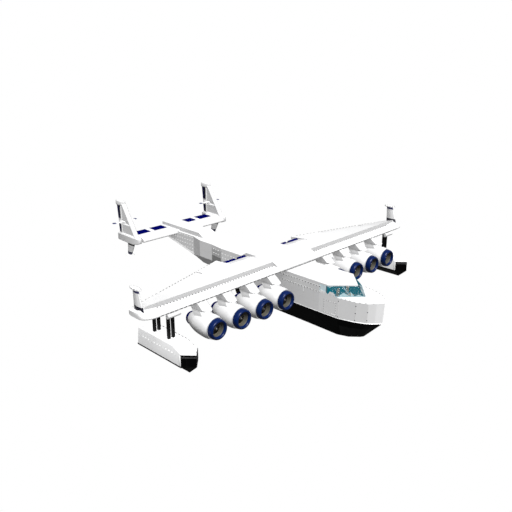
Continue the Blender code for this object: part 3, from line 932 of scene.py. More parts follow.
WHITE_PLAIN = Finish("white_fitting_paint", OFF_WHITE, 0.35, coat=0.25)
WHITE = replace(WHITE_PLAIN, name="white_gloss_paint", cloud=0.04, streak=0.03, seam=0.3, pitch=(2.1, 2.1, 1.45))
# The two grey fields are painted shade on the narrowing stretch of the body aft of the wing: mid grey high on its sides
# and dark grey lower down.
AFT_PAINT_AND_SHADE = replace(WHITE, name="white_aft_paint", marks=(
    Mark((0.66, 0.66, 0.665), along=(5.2, 7.8), up=(5.7, 6.9)),
    Mark((0.3, 0.3, 0.305), across=(0.5, 3.1), along=(5.2, 7.8), up=(2.9, 5.7)),
))
FLAP_PAINT = replace(
    WHITE_PLAIN, name="white_flap_paint", seam=0.35, pitch=(1.3, 5.0, 5.0),
    marks=(Mark(DEEP_NAVY, along=(-1.75, -1.0)),),
)
STUB_PAINT = Finish(
    "white_stub_paint", OFF_WHITE, 0.35,
    marks=(Mark(BAR_NAVY, across=(7.2, 7.8)), Mark(BAR_NAVY, across=(11.55, 12.3))),
)
LOWER_FIN_PAINT = Finish(
    "white_lower_fin_paint", OFF_WHITE, 0.35,
    marks=(Mark((0.004, 0.004, 0.005), up=(5.9, 6.5)), Mark((0.0, 0.001, 0.05), up=(4.0, 4.62))),
)
BOW_WHITE = Finish("white_bow_paint", SNOW, 0.35, coat=0.25, cloud=0.04, streak=0.03)
FLOAT_WHITE = replace(BOW_WHITE, name="white_float_paint", seam=0.25, pitch=(5.0, 2.3, 5.0))
WING_WHITE = replace(
    BOW_WHITE, name="white_wing_paint", cloud=0.02, streak=0.0, seam=0.25, pitch=(2.1, 2.1, 1.45),
    # The pale grey field on the upright wall at the back of the nose recess is painted shade.
    marks=(Mark((0.72, 0.72, 0.725), across=(4.31, 27.2), along=(-7.83, -7.797), up=(8.0, 8.9)),),
)
WINGLET_PAINT = Finish(
    "white_winglet_paint", SNOW, 0.35, seam=0.3, pitch=(5.0, 1.0, 0.9),
    marks=(Mark((0.001, 0.001, 0.015), up=(7.0, 8.9)), Mark((0.0, 0.002, 0.09), up=(10.6, 10.995))),
)
STRIP_WHITE = Finish("white_strip_paint", (0.97, 0.97, 0.97), 0.3, coat=0.3, cloud=0.03, streak=0.02)
BLACK = Finish(
    "black_bottom_paint", (0.0014, 0.0014, 0.0016), 0.4, shade=(0.012, 0.012, 0.011), cloud=0.2, streak=0.15,
    seam=0.5, pitch=(1.4, 2.1, 1.45), specular=0.06,
    # The less black field on the front of the bow's bottom is painted light on the facets that face forward into the
    # key light.
    marks=(Mark((0.009, 0.009, 0.0095), along=(-24.0, -19.1), up=(-1.0, 1.7)),),
)
BLACK_PLAIN = Finish("black_strut_paint", (0.002, 0.002, 0.0022), 0.4, shade=(0.02, 0.02, 0.018), specular=0.1)
STRUT_PAINT = replace(
    BLACK_PLAIN, name="black_strut_and_white_fairing_paint",
    marks=(Mark(OFF_WHITE, up=(7.24, 8.0)), Mark(OFF_WHITE, along=(-10.0, -8.99), up=(6.75, 8.0))),
)
NAVY = Finish("navy_gloss_paint", DEEP_NAVY, 0.35, shade=NAVY_SHEEN, cloud=0.15, specular=0.0)
NAVY_SKIN = Finish(
    "navy_elevator_paint", DEEP_NAVY, 0.35, shade=NAVY_SHEEN, seam=0.3, pitch=(1.3, 0.9, 5.0), specular=0.0,
    marks=(Mark(OFF_WHITE, across=(4.8, 5.63)),),
)
NAVY_LIP = Finish(
    "navy_intake_paint", (0.0, 0.011, 0.08), 0.38, coat=0.08, shade=(0.03, 0.05, 0.22), cloud=0.1, streak=0.0,
    specular=0.2,
)
RUDDER_PAINT = Finish(
    "navy_rudder_paint", (0.0, 0.001, 0.06), 0.35, coat=0.1, shade=(0.02, 0.03, 0.1), specular=0.15,
    # The black field over the front of each rudder is painted shade.
    marks=(Mark((0.001, 0.001, 0.002), along=(23.0, 23.85)),),
)
METAL = Finish("dull_bare_metal", (0.42, 0.41, 0.36), 0.42, metallic=0.75, shade=(0.2, 0.19, 0.16), cloud=0.3)
SPINNER_METAL = Finish("dark_spinner_metal", (0.05, 0.05, 0.05), 0.16, coat=1.0, shade=(0.1, 0.1, 0.1))
DUCT_BLACK = Finish("black_duct_lining", (0.01, 0.01, 0.01), 0.6, shade=(0.04, 0.04, 0.035))
BLADE_PAINT = Finish(
    "dark_blade_paint", (0.006, 0.006, 0.005), 0.5, shade=(0.015, 0.015, 0.012), cloud=0.3, specular=0.1,
)
BLADE_TIP = Finish("beige_edge_paint", (0.3, 0.25, 0.14), 0.5, shade=(0.2, 0.16, 0.08))
THROAT = Finish("olive_throat_lining", (0.1, 0.095, 0.075), 0.5, shade=(0.05, 0.047, 0.035), cloud=0.4)
LINING = Finish("dark_teal_lining", (0.005, 0.1, 0.14), 0.6, shade=(0.01, 0.05, 0.07), cloud=0.3)
DASH_GREY = Finish("grey_dash_paint", (0.16, 0.16, 0.16), 0.5, shade=(0.1, 0.1, 0.1), specular=0.2)
RAIL_GREY = Finish("light_grey_rail_paint", (0.3, 0.3, 0.3), 0.5, shade=(0.2, 0.2, 0.2), specular=0.2)
STUD_GREY = Finish("dark_stud_paint", (0.06, 0.065, 0.07), 0.4, shade=(0.15, 0.15, 0.15))
POST_TEAL = Finish("grey_teal_post_paint", (0.1, 0.2, 0.24), 0.4, shade=(0.2, 0.3, 0.33))
BAND_GREY = Finish("pale_grey_band_paint", (0.62, 0.63, 0.64), 0.4, shade=(0.4, 0.4, 0.4))
# A grey strip on the top edge of each float's black bow, painted as a highlight.
BOW_HIGHLIGHT_GREY = Finish("grey_bow_band_paint", (0.06, 0.06, 0.062), 0.4, shade=(0.1, 0.1, 0.1))
PANEL_GREY = Finish("grey_panel_paint", (0.2, 0.21, 0.22), 0.5, shade=(0.1, 0.1, 0.1))
COVER = Finish("brown_seat_cover", (0.85, 0.42, 0.15), 0.8, shade=(0.12, 0.05, 0.02), cloud=0.4, grain_size=180.0)
SHELL_BLUE = Finish("dark_blue_seat_shell", (0.004, 0.03, 0.1), 0.45, shade=(0.01, 0.04, 0.12))


def keep(
    piece: Piece, finish: Finish | bpy.types.Material, slot: Slot, body: str = AIRFRAME, nodes: Sequence[str] = (),
) -> Piece:
    """Scale a finished piece, paint it and say what it rides on and stands for.

    Args:
        piece: The piece, at full size.
        finish: Its finish, or a ready material.
        slot: The record's slot that it takes its finish from. Not used.
        body: The body that it rides on.
        nodes: Solids that it replaces.

    Returns:
        The same piece, at the model's size.
    """
    Bench.finish(piece)
    material = SHOP.material(finish) if isinstance(finish, Finish) else finish
    piece.data.materials.clear()
    piece.data.materials.append(material)
    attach(piece, body)
    if nodes:
        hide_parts(*nodes)
    LOG.info("%s: %d faces on %s", piece.name, len(piece.data.polygons), body)
    return piece


def keep_pair(
    pieces: Sequence[Piece], name: str, finish: Finish | bpy.types.Material, slot: Slot,
    body: str = AIRFRAME, node: str = "", angle: float = 30.0,
) -> None:
    """Join pieces of the port side, copy them to starboard and keep both.

    Args:
        pieces: Pieces of the port side, at full size.
        name: Name of the piece, without its side.
        finish: Their finish, or a ready material.
        slot: The record's slot that they take their finish from.
        body: The body that they ride on. A pair of braces stands for the side.
        node: The solid that each replaces, with braces for the side. A solid without
            braces is replaced by the port piece alone.
        angle: Edges sharper than this stay sharp, in degrees. 0 leaves the shading.
    """
    port = Bench.join(f"{name}_port", pieces)
    starboard = Bench.copy(port, f"{name}_starboard", MIRROR)
    for piece, (side, sign) in zip((port, starboard), SIDES):
        if angle > 0.0:
            Bench.smooth(piece, angle)
        replaced = node and (sign > 0.0 or "{}" in node)
        keep(piece, finish, slot, body.format(side), [node.format(side)] if replaced else [])


def dress(node: str, finish: Finish) -> None:
    """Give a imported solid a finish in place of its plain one.

    Args:
        node: Name of the solid.
        finish: Its finish.
    """
    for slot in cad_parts[node].material_slots:
        slot.material = SHOP.material(finish)
    LOG.info("%s: dressed in %s", node, finish.name)


# Sub-assemblies


@dataclass
class EngineRow:
    """Eight engines under the wing: cowls with pylons, intake lips, ducts and fans.

    A pylon section gives its height, half width, foremost point and rear end, and a blade
    section its radius, pitch in degrees and chord.
    """

    places: tuple[float, ...] = (-19.3, -14.9, -10.57, -6.2, 6.2, 10.57, 14.9, 19.3)
    axis: float = 4.57
    cowl: tuple[Pair, ...] = (
        (-11.95, 1.5), (-11.2, 1.66), (-10.1, 1.63), (-9.0, 1.49), (-8.1, 1.23), (-7.4, 0.96), (-7.15, 0.85),
    )
    cowl_inside: tuple[Pair, ...] = ((-7.15, 0.79), (-8.5, 0.96), (-10.4, 1.08), (-11.95, 1.08))
    band: tuple[Pair, ...] = ((-11.975, 1.47), (-11.86, 1.5), (-11.86, 1.535), (-11.975, 1.52))
    lip: tuple[Pair, ...] = (
        (-11.95, 1.44), (-12.25, 1.44), (-12.5, 1.405), (-12.68, 1.325), (-12.75, 1.2), (-12.7, 1.08),
        (-12.52, 1.0), (-12.25, 0.965), (-11.9, 0.955),
    )
    exhaust: tuple[Pair, ...] = (
        (-7.34, 0.985), (-7.14, 0.955), (-6.9, 0.86), (-6.74, 0.74), (-6.7, 0.68), (-6.74, 0.62), (-7.6, 0.76),
        (-7.34, 0.86),
    )
    pylon: tuple[tuple[float, float, float, float], ...] = (
        (5.4, 0.95, -10.6, -8.5), (6.1, 0.88, -10.2, -7.93), (6.5, 0.78, -9.85, -7.6), (6.75, 0.8, -10.3, -7.4),
        (7.2, 0.8, -9.75, -7.03), (7.63, 0.8, -9.1, -6.68),
    )
    pylon_crease: float = 38.0
    duct: float = 0.955
    fan_depth: float = 0.4
    fan_at: float = 0.0
    blades: int = 24
    blade_sections: tuple[Place, ...] = ((0.25, 30.0, 0.24), (0.45, 38.0, 0.26), (0.7, 46.0, 0.27), (0.87, 52.0, 0.27))
    vanes: int = 11
    round_steps: int = 56
    inner_steps: int = 40
    core_steps: int = 32

    def build(self) -> None:
        """Model one engine and set it at the eight places."""
        self.fan_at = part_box("fan_1")[1][1] / MODEL_SCALE + self.fan_depth
        tip_sections = ((0.86, 52.0, 0.3), (self.duct - 0.04, 54.0, 0.29))
        fan = "moving_fan_{}"
        patterns = (
            ("cowl", self.build_cowl(), WHITE_PLAIN, Slot.WHITE, AIRFRAME, "nacelle"),
            ("pylon", self.build_pylon(), WHITE_PLAIN, Slot.WHITE, AIRFRAME, ""),
            ("cowl_band", self.ring(self.band, 32.0), BAND_GREY, Slot.WHITE, AIRFRAME, ""),
            ("intake_lip", self.build_lip(), NAVY_LIP, Slot.NAVY, AIRFRAME, "engine"),
            ("exhaust_ring", self.ring(self.exhaust, 40.0, self.inner_steps), NAVY, Slot.NAVY, AIRFRAME, ""),
            ("intake_duct", self.build_duct(), DUCT_BLACK, Slot.METAL, AIRFRAME, ""),
            ("throat_liner", self.build_throat(), THROAT, Slot.METAL, AIRFRAME, ""),
            ("engine_core", self.build_core(), METAL, Slot.METAL, AIRFRAME, ""),
            ("fan_blades", self.build_blades(self.blade_sections), BLADE_PAINT, Slot.METAL, fan, "fan"),
            ("fan_blade_tips", self.build_blades(tip_sections, 0.012), BLADE_TIP, Slot.METAL, fan, ""),
            ("spinner", self.build_spinner(), SPINNER_METAL, Slot.METAL, fan, ""),
        )
        for number, x in enumerate(self.places, start=1):
            move = Matrix.Translation((x, 0.0, self.axis))
            for name, pattern, finish, slot, body, node in patterns:
                twin = Bench.copy(pattern, f"{name}_{number}", move)
                keep(twin, finish, slot, body.format(number), [f"{node}_{number}"] if node else [])
        Bench.discard(*[entry[1] for entry in patterns])

    def ring(self, profile: Sequence[Pair], angle: float, steps: int = round_steps) -> Piece:
        """Return a smooth ring about an axis at the origin."""
        return Bench.smooth(Bench.turned("ring", profile, steps), angle)

    def build_cowl(self) -> Piece:
        """Return the cowl, on an axis at the origin."""
        return self.ring([*curve_through(self.cowl, 4), *self.cowl_inside], 32.0)

    def build_pylon(self) -> Piece:
        """Return the pylon, whose flat sides meet its rounded front at a crease.

        Returns:
            The pylon, at full size.
        """
        rings = []
        crease = math.radians(self.pylon_crease)
        for level, half, nose, rear in self.fine_pylon():
            front = []
            for i in range(13):
                turn = lerp(crease, math.pi - crease, i / 12)
                share = (math.sin(turn) - math.sin(crease)) / (1.0 - math.sin(crease))
                front.append((half * math.cos(turn) / math.cos(crease), nose - 0.75 * share))
            sides = [*front, (-half, rear - 0.5), (-half * 0.62, rear - 0.12), (-half * 0.3, rear)]
            sides += [(half * 0.3, rear), (half * 0.62, rear - 0.12), (half, rear - 0.5)]
            rings.append(at_level(sides, level - self.axis))
        return Bench.smooth(Bench.loft("pylon", rings), 28.0)

    def fine_pylon(self) -> list[tuple[float, ...]]:
        """Return the pylon's sections with one more between each two.

        Returns:
            Sections as in the field pylon.
        """
        fine = []
        for low, high in zip(self.pylon, self.pylon[1:]):
            fine += [tuple(lerp(a, b, share) for a, b in zip(low, high)) for share in (0.0, 0.5)]
        top, *rest = self.pylon[-1]
        return [*fine, (top - 0.001, *rest)]

    def build_lip(self) -> Piece:
        """Return the rounded navy lip of the intake."""
        inside = [(-11.6, self.duct + 0.02), (-11.6, 1.07), (-11.952, 1.07)]
        return self.ring([*curve_through(self.lip, 3), *inside], 40.0)

    def build_throat(self) -> Piece:
        """Return the olive liner between the lip and the fan.

        Returns:
            The liner, at full size.
        """
        inner, outer = self.duct - 0.015, self.duct + 0.004
        front = [(-12.36, outer + 0.012), (-12.33, inner + 0.01)]
        return self.ring([*front, (-12.2, inner), (-11.7, inner), (-11.7, outer), (-12.2, outer)], 40.0)

    def build_duct(self) -> Piece:
        """Return the black tube behind the lip, as far as the stator.

        Returns:
            The tube, at full size.
        """
        inner, outer = self.duct + 0.015, self.duct + 0.09
        profile = [(-11.62, inner), (-11.2, inner), (-10.4, inner), (-10.4, outer), (-11.58, outer)]
        return self.ring(profile, 40.0, self.inner_steps)

    def build_core(self) -> Piece:
        """Return the engine's core with its stator vanes and exhaust cone.

        Returns:
            The core, at full size.
        """
        front = self.fan_at + 0.05
        line = ((front, 0.42), (front + 0.4, 0.52), (-9.0, 0.55), (-7.6, 0.52), (-6.8, 0.28), (-6.6, 0.0))
        core = Bench.turned("core", [(front, 0.0), *curve_through(line, 3)], self.core_steps)
        section = [(0.025, -10.9), (0.05, -10.75), (-0.01, -10.55), (-0.03, -10.75)]
        vanes = []
        for i in range(self.vanes):
            vane = Bench.loft("vane", [at_level(section, radius) for radius in (0.4, self.duct + 0.05)])
            vane.data.transform(Matrix.Rotation(math.tau * i / self.vanes, 4, "Y"))
            vanes.append(vane)
        return Bench.smooth(Bench.join("core", [core, *vanes]), 40.0)

    def build_spinner(self) -> Piece:
        """Return the bright pointed spinner.

        Returns:
            The spinner, at full size.
        """
        rear = self.fan_at - 0.02
        nose = rear - 0.76
        line = ((nose, 0.0), (nose + 0.05, 0.09), (nose + 0.2, 0.18), (nose + 0.5, 0.28), (rear, 0.31))
        return self.ring([*curve_through(line, 3), (rear, 0.0)], 40.0, self.core_steps)

    def build_blades(self, sections: Sequence[Place], extra: float = 0.0) -> Piece:
        """Return a ring of twisted blades.

        Args:
            sections: Radius, pitch in degrees and chord of each section.
            extra: How much thicker the blades are on each side.

        Returns:
            The blades, on an axis at the origin.
        """
        middle = self.fan_at - 0.17
        rings = []
        for radius, pitch, chord in sections:
            turn = math.radians(pitch)
            ring = []
            for along, thick in ((-0.5, 0.0), (-0.2, 0.02), (0.2, 0.018), (0.5, 0.0), (0.2, -0.012), (-0.2, -0.012)):
                run = along * chord
                deep = thick + math.copysign(extra, thick) if thick else 0.0
                ring.append((
                    run * math.sin(turn) + deep * math.cos(turn), middle + run * math.cos(turn) - deep * math.sin(turn),
                ))
            rings.append(at_level(ring, radius))
        blade = Bench.loft("blade", rings)
        turns = [Matrix.Rotation(math.tau * i / self.blades, 4, "Y") for i in range(1, self.blades)]
        return Bench.smooth(Bench.join("blades", [blade, *[Bench.copy(blade, "blade", turn) for turn in turns]]), 40.0)


@dataclass
class Wing:
    """The wing with its rounded nose, its nose recess and its rounded tips."""

    nose: float = -9.55
    rib: float = -7.8
    under: float = 7.63
    nose_top: float = 8.2
    top: float = 8.8
    cove: float = -3.6
    saddle_half: float = 4.3
    saddle_wall: float = 3.6
    body_top: float = 7.451
    flap_end: float = 8.5
    aileron: Pair = (13.6, 22.2)
    aileron_chord: float = 1.5
    tip_start: float = 26.6
    tip_end: float = 28.2
    sweep: float = 0.2734
    step: float = 0.001
    dash_pitch: float = 0.73
    stud_pitch: float = 0.52
    stud: tuple[Pair, ...] = ((0.0, 0.0), (0.0, 0.11), (0.04, 0.1), (0.06, 0.0))

    def trail(self, x: float) -> float:
        """Return how far aft the trailing edge lies."""
        return -0.05 - self.sweep * (x - 9.0)

    def trail_top(self, x: float) -> float:
        """Return the height of the trailing edge's upper corner."""
        return lerp(8.05, 7.9, (x - 9.0) / (28.2 - 9.0))

    def skin(self, x: float, aft: float) -> float:
        """Return the height of the upper skin behind the rib."""
        return lerp(self.top, self.trail_top(x), (aft - self.rib) / (self.trail(x) - self.rib))

    @staticmethod
    def nose_line(nose: float, under: float, top: float) -> list[Pair]:
        """Return the rounded nose from its underside to its top."""
        tall = top - under
        return rounded_nose(nose, under, top, (0.2, 0.3 * tall), (0.5, 0.66 * tall))

    def ring(self, x: float, rear: float, share: float = 0.0) -> list[Place]:
        """Return one section of the outer wing, whose nose recess is filled by a share.

        Args:
            x: Distance to port.
            rear: Distance aft of the rear end.
            share: How far the recess is filled.

        Returns:
            Places round the section.
        """
        line = self.nose_line(self.nose, self.under, self.nose_top)
        line += [(self.rib - 0.01, lerp(self.nose_top, self.top, share)), (self.rib, self.top)]
        return at_side([*line, (rear, self.skin(x, rear)), (rear, self.under)], x)

    def tip_ring(self, turn: float) -> list[Place]:
        """Return a section of the rounded tip after a turn in degrees.

        Args:
            turn: From 0 at the tip's start to 90 at its end.

        Returns:
            Places round the section.
        """
        angle = math.radians(turn)
        x = self.tip_start + (self.tip_end - self.tip_start) * math.sin(angle)
        share = 1.0 - math.cos(angle)
        nose = -8.15 - (-8.15 - self.nose) * math.cos(angle)
        under, top = lerp(self.under, 7.42, share), lerp(self.top, 8.12, share)
        nose_top = lerp(self.nose_top, 8.02, share)
        rear = lerp(self.trail(self.tip_start), -6.15, share)
        rear_top = lerp(self.trail_top(self.tip_start), 8.1, share)
        wall = lerp(nose_top, top, min(0.97, 0.25 + 2.0 * share))
        line = [*self.nose_line(nose, under, nose_top), (self.rib - 0.01, wall), (self.rib, top)]
        return at_side([*line, (rear, rear_top), (rear, under)], x)

    def build(self) -> None:
        """Model the centre section and both outer wings."""
        low, high = self.aileron
        trail, chord = self.trail, self.aileron_chord
        stations = (
            (self.saddle_half, self.cove, 0.0), (self.flap_end, self.cove, 0.0),
            (self.flap_end + self.step, trail(self.flap_end), 0.0), (low - self.step, trail(low), 0.0),
            (low, trail(low) - chord, 0.0), (high, trail(high) - chord, 0.0),
            (high + self.step, trail(high), 0.0), (25.2, trail(25.2), 0.0), (26.4, trail(26.4), 0.2),
        )
        rings = [self.ring(*station) for station in stations]
        rings += [self.tip_ring(turn) for turn in (0.0, 15.0, 30.0, 45.0, 60.0, 75.0, 90.0)]
        wing = Bench.loft("wing", rings)
        keep_pair([wing], "outer_wing", WING_WHITE, Slot.WHITE, node="wing_{}", angle=32.0)
        centre = Bench.smooth(Bench.loft("wing_saddle", self.saddle_rings()), 32.0)
        keep(centre, WHITE, Slot.WHITE, nodes=["wing_centre"])
        self.build_strips()

    def build_strips(self) -> None:
        """Lay the grey dashes along the lower nose and the studs along the recess."""
        front, rear = self.nose - 0.02, self.nose + 0.05
        low, high = self.under + 0.06, self.under + 0.19
        line = [(front, low), (rear, low), (rear, high), (front, high)]
        dashes = [Bench.prism("dash", at_side(line, 4.4 + self.dash_pitch * i), (0.5, 0.0, 0.0)) for i in range(30)]
        keep_pair(dashes, "nose_dashes", DASH_GREY, Slot.WHITE)
        places = [(4.6 + self.stud_pitch * i, self.rib - 0.16, self.nose_top) for i in range(42)]
        studs = Bench.spread(Bench.turned_up("stud", self.stud, 10), [Matrix.Translation(place) for place in places])
        keep_pair(studs, "recess_studs", DASH_GREY, Slot.WHITE)

    def saddle_rings(self) -> list[list[Place]]:
        """Return the sections of the centre, from starboard to port.

        Returns:
            Places round each section.
        """
        slope = (self.top - 8.48) / (-3.2 - self.rib)
        edge = self.cove - 0.02
        outer = [(edge, self.top - slope * (edge - self.rib)), (self.cove - 0.01, 8.3), (self.cove - 0.005, 8.0),
                 (self.cove, self.under)]
        inner = [(-3.2, 8.48), (-1.45, 8.48), (-0.4, 7.8), (-0.4, self.body_top)]
        half = ((self.saddle_wall, inner, self.body_top), (self.saddle_wall + 0.002, outer, self.under),
                (self.saddle_half, outer, self.under))
        rings = []
        for x, rear, foot in [*[(-x, rear, foot) for x, rear, foot in reversed(half)], *half]:
            front = self.nose_line(self.nose, self.under, self.nose_top)
            line = [(front[0][0], foot), *front[1:], (self.rib - 0.01, lerp(self.nose_top, self.top, 0.97))]
            rings.append(at_side([*line, (self.rib, self.top), *rear], x))
        return rings


@dataclass
class Bow:
    """The faceted bow shell with its seams, strakes, window rows and hatch outlines.

    The plans give (distance out, distance aft) from the stem, a row of windows its height
    and both ends, and a hatch its front, rear, foot and head.
    """

    line: tuple[Pair, ...] = (
        (0.0, -24.52), (0.75, -23.77), (1.5, -22.98), (2.22, -21.47), (2.93, -19.05), (3.0, -15.7),
    )
    sill: tuple[Pair, ...] = (
        (0.0, -24.7), (0.95, -24.05), (1.82, -23.29), (2.58, -21.83), (3.0, -19.2), (3.0, -15.7),
    )
    foot: float = 2.9
    head: float = 6.06
    cabin_floor: float = 4.2
    inside: tuple[Pair, ...] = ((2.7, -15.9), (2.7, -18.47), (0.0, -21.17), (-2.7, -18.47), (-2.7, -15.9))
    seam_half: float = 0.07
    seam_proud: float = 0.02
    seams: tuple[tuple[int, tuple[float, ...]], ...] = ((4, (5.6, 3.2)), (3, (5.5, 4.35, 3.2)), (2, (4.75, 3.45)))
    stud: tuple[Pair, ...] = ((0.0, 0.0), (0.0, 0.085), (-0.02, 0.08), (-0.035, 0.05), (-0.04, 0.0))
    small_stud: tuple[Pair, ...] = ((0.0, 0.0), (0.0, 0.05), (-0.02, 0.045), (-0.03, 0.0))
    body_end: Pair = (3.0, 4.9)
    rows: tuple[Place, ...] = ((6.8, -15.75, -8.3), (5.95, -15.7, -8.6))
    window_pitch: float = 0.53
    hatches: tuple[tuple[float, float, float, float], ...] = ((-18.75, -16.6, 3.25, 5.15), (-12.8, -12.6, 5.1, 5.95))

    def build(self) -> None:
        """Model the shell and what is fixed on it."""
        full = [self.closed(points, level) for points, level in ((self.line, self.foot), (self.sill, self.head))]
        hollow = Bench.prism("hollow", at_level(self.inside, self.cabin_floor), (0.0, 0.0, 3.0))
        shell = Bench.cut(Bench.loft("bow_skin", full), hollow)
        keep(Bench.smooth(shell, 5.0), BOW_WHITE, Slot.WHITE, nodes=["bow_shell"])
        self.build_seams()
        self.build_strake()
        self.build_windows()
        self.build_hatches()

    @staticmethod
    def closed(points: Sequence[Pair], level: float) -> list[Place]:
        """Return a half outline closed with its mirror image at a level."""
        return at_level([*points, *[(-x, aft) for x, aft in reversed(points) if x > 0.0]], level)

    def corner(self, points: Sequence[Pair], number: int, level: float) -> list[Place]:
        """Return a section of a seam strip that is folded round a corner of the plan.

        Args:
            points: Corners of the plan, from the bow aft.
            number: The corner that the strip follows.
            level: Height of the section.

        Returns:
            Six points of the section.
        """
        middle = Vector(points[number])
        ahead = (Vector(points[number - 1]) - middle).normalized()
        behind = (Vector(points[number + 1]) - middle).normalized()
        first = Vector((-ahead.y, ahead.x)) * self.seam_proud
        second = Vector((behind.y, -behind.x)) * self.seam_proud
        outward = (first + second).normalized() * self.seam_proud
        near, far = ahead * self.seam_half, behind * self.seam_half
        flat = [middle + near + first, middle + outward, middle + far + second]
        flat += [middle + far - second, middle - outward, middle + near - first]
        return [(point.x, point.y, level) for point in flat]

    def build_seams(self) -> None:
        """Lay the light cover strips over the corners, with their dark studs."""
        strips, moves = [], []
        for number, levels in self.seams:
            ends = ((self.line, self.foot + 0.02), (self.sill, self.head - 0.01))
            strips.append(Bench.loft("strip", [self.corner(points, number, level) for points, level in ends]))
            facing = Vector(self.sill[number]) - Vector(self.sill[number + 1])
            turn = math.atan2(facing.x, -facing.y) + math.radians(62.0)
            for level in levels:
                share = (level - self.foot) / (self.head - self.foot)
                place = Vector(self.line[number]).lerp(Vector(self.sill[number]), share)
                moves.append(Matrix.Translation((place.x, place.y, level)) @ Matrix.Rotation(turn, 4, "Z"))
        keep_pair(strips, "bow_seam_strips", STRIP_WHITE, Slot.WHITE)
        studs = Bench.spread(Bench.turned("stud", self.stud, 12), moves)
        keep_pair(studs, "bow_seam_studs", STUD_GREY, Slot.METAL)

    def build_strake(self) -> None:
        """Lay the bright strake along the lower edge of the shell and the cabin."""
        points = [*self.line, self.body_end]
        rings = []
        for number, place in enumerate(map(Vector, points)):
            far = Vector(points[min(number + 1, len(points) - 1)])
            run = (far - Vector(points[max(number - 1, 0)])).normalized()
            out = Vector((run.y, -run.x)) if number > 0 else Vector((0.0, -1.0))
            size = 0.7 if number < 4 else 0.3
            low, high = place + out * 0.11 * size, place - out * 0.02
            rings.append([
                (high.x, high.y, self.foot), (low.x, low.y, self.foot), (low.x, low.y, self.foot + 0.03),
                (high.x, high.y, self.foot + 0.17 * size),
            ])
        keep_pair([Bench.loft("strake", rings)], "chine_strake", STRIP_WHITE, Slot.WHITE)

    def build_windows(self) -> None:
        """Set the two rows of small windows in each side of the cabin."""
        hole = self.rounded(0.1, 0.075, 0.035)
        rim = Bench.prism("rim", at_side(self.rounded(0.19, 0.13, 0.05), 2.97), (0.055, 0.0, 0.0))
        rim = Bench.cut(rim, Bench.prism("hole", at_side(hole, 2.9), (0.3, 0.0, 0.0)))
        pane = Bench.prism("pane", at_side(hole, 2.98), (0.03, 0.0, 0.0))
        moves = []
        for level, start, end in self.rows:
            count = int((end - start) / self.window_pitch)
            moves += [Matrix.Translation((0.0, lerp(start, end, i / count), level)) for i in range(count + 1)]
        keep_pair(Bench.spread(rim, moves), "window_rims", STRIP_WHITE, Slot.WHITE)
        keep_pair(Bench.spread(pane, moves), "window_panes", STUD_GREY, Slot.GLASS)

    @staticmethod
    def rounded(half_long: float, half_tall: float, radius: float) -> list[Pair]:
        """Return a rectangle with rounded corners about the origin.

        Args:
            half_long: Half its length.
            half_tall: Half its height.
            radius: Radius of the corners.

        Returns:
            Its points.
        """
        points = []
        for aft, up, start in ((1, 1, 0), (-1, 1, 90), (-1, -1, 180), (1, -1, 270)):
            for step in range(3):
                turn = math.radians(start + 45.0 * step)
                across, rise = radius * math.cos(turn), radius * math.sin(turn)
                points.append((aft * (half_long - radius) + across, up * (half_tall - radius) + rise))
        return points

    def build_hatches(self) -> None:
        """Outline the hatches in the sides with light strips and dark studs."""
        strips, studs = [], []
        for front, rear, low, high in self.hatches:
            large = rear - front > 1.0
            wide = 0.04 if large else 0.09
            inside = self.panel(front + wide, rear - wide, low + wide, high - wide, 2.8)
            hatch = Bench.prism("hatch", self.panel(front, rear, low, high, 2.93), (0.09, 0.0, 0.0))
            strips.append(Bench.cut(hatch, Bench.prism("hole", inside, (0.4, 0.0, 0.0))))
            spots = [(front + 0.02, low + 0.02)]
            if large:
                steps = [i / 5 for i in range(6)]
                spots = [(lerp(front, rear, share), up) for share in steps for up in (low + 0.02, high - 0.02)]
                spots += [(aft, lerp(low, high, share)) for share in steps[1:-1] for aft in (front + 0.02, rear - 0.02)]
            aside = Matrix.Rotation(math.pi / 2, 4, "Z")
            moves = [Matrix.Translation((3.02, aft, up)) @ aside for aft, up in spots]
            studs += Bench.spread(Bench.turned("stud", self.small_stud, 10), moves)
        keep_pair(strips, "hatch_outlines", STRIP_WHITE, Slot.WHITE)
        keep_pair(studs, "hatch_studs", STUD_GREY, Slot.METAL)

    @staticmethod
    def panel(front: float, rear: float, low: float, high: float, x: float) -> list[Place]:
        """Return an upright rectangle at a distance to port."""
        return at_side([(front, low), (rear, low), (rear, high), (front, high)], x)


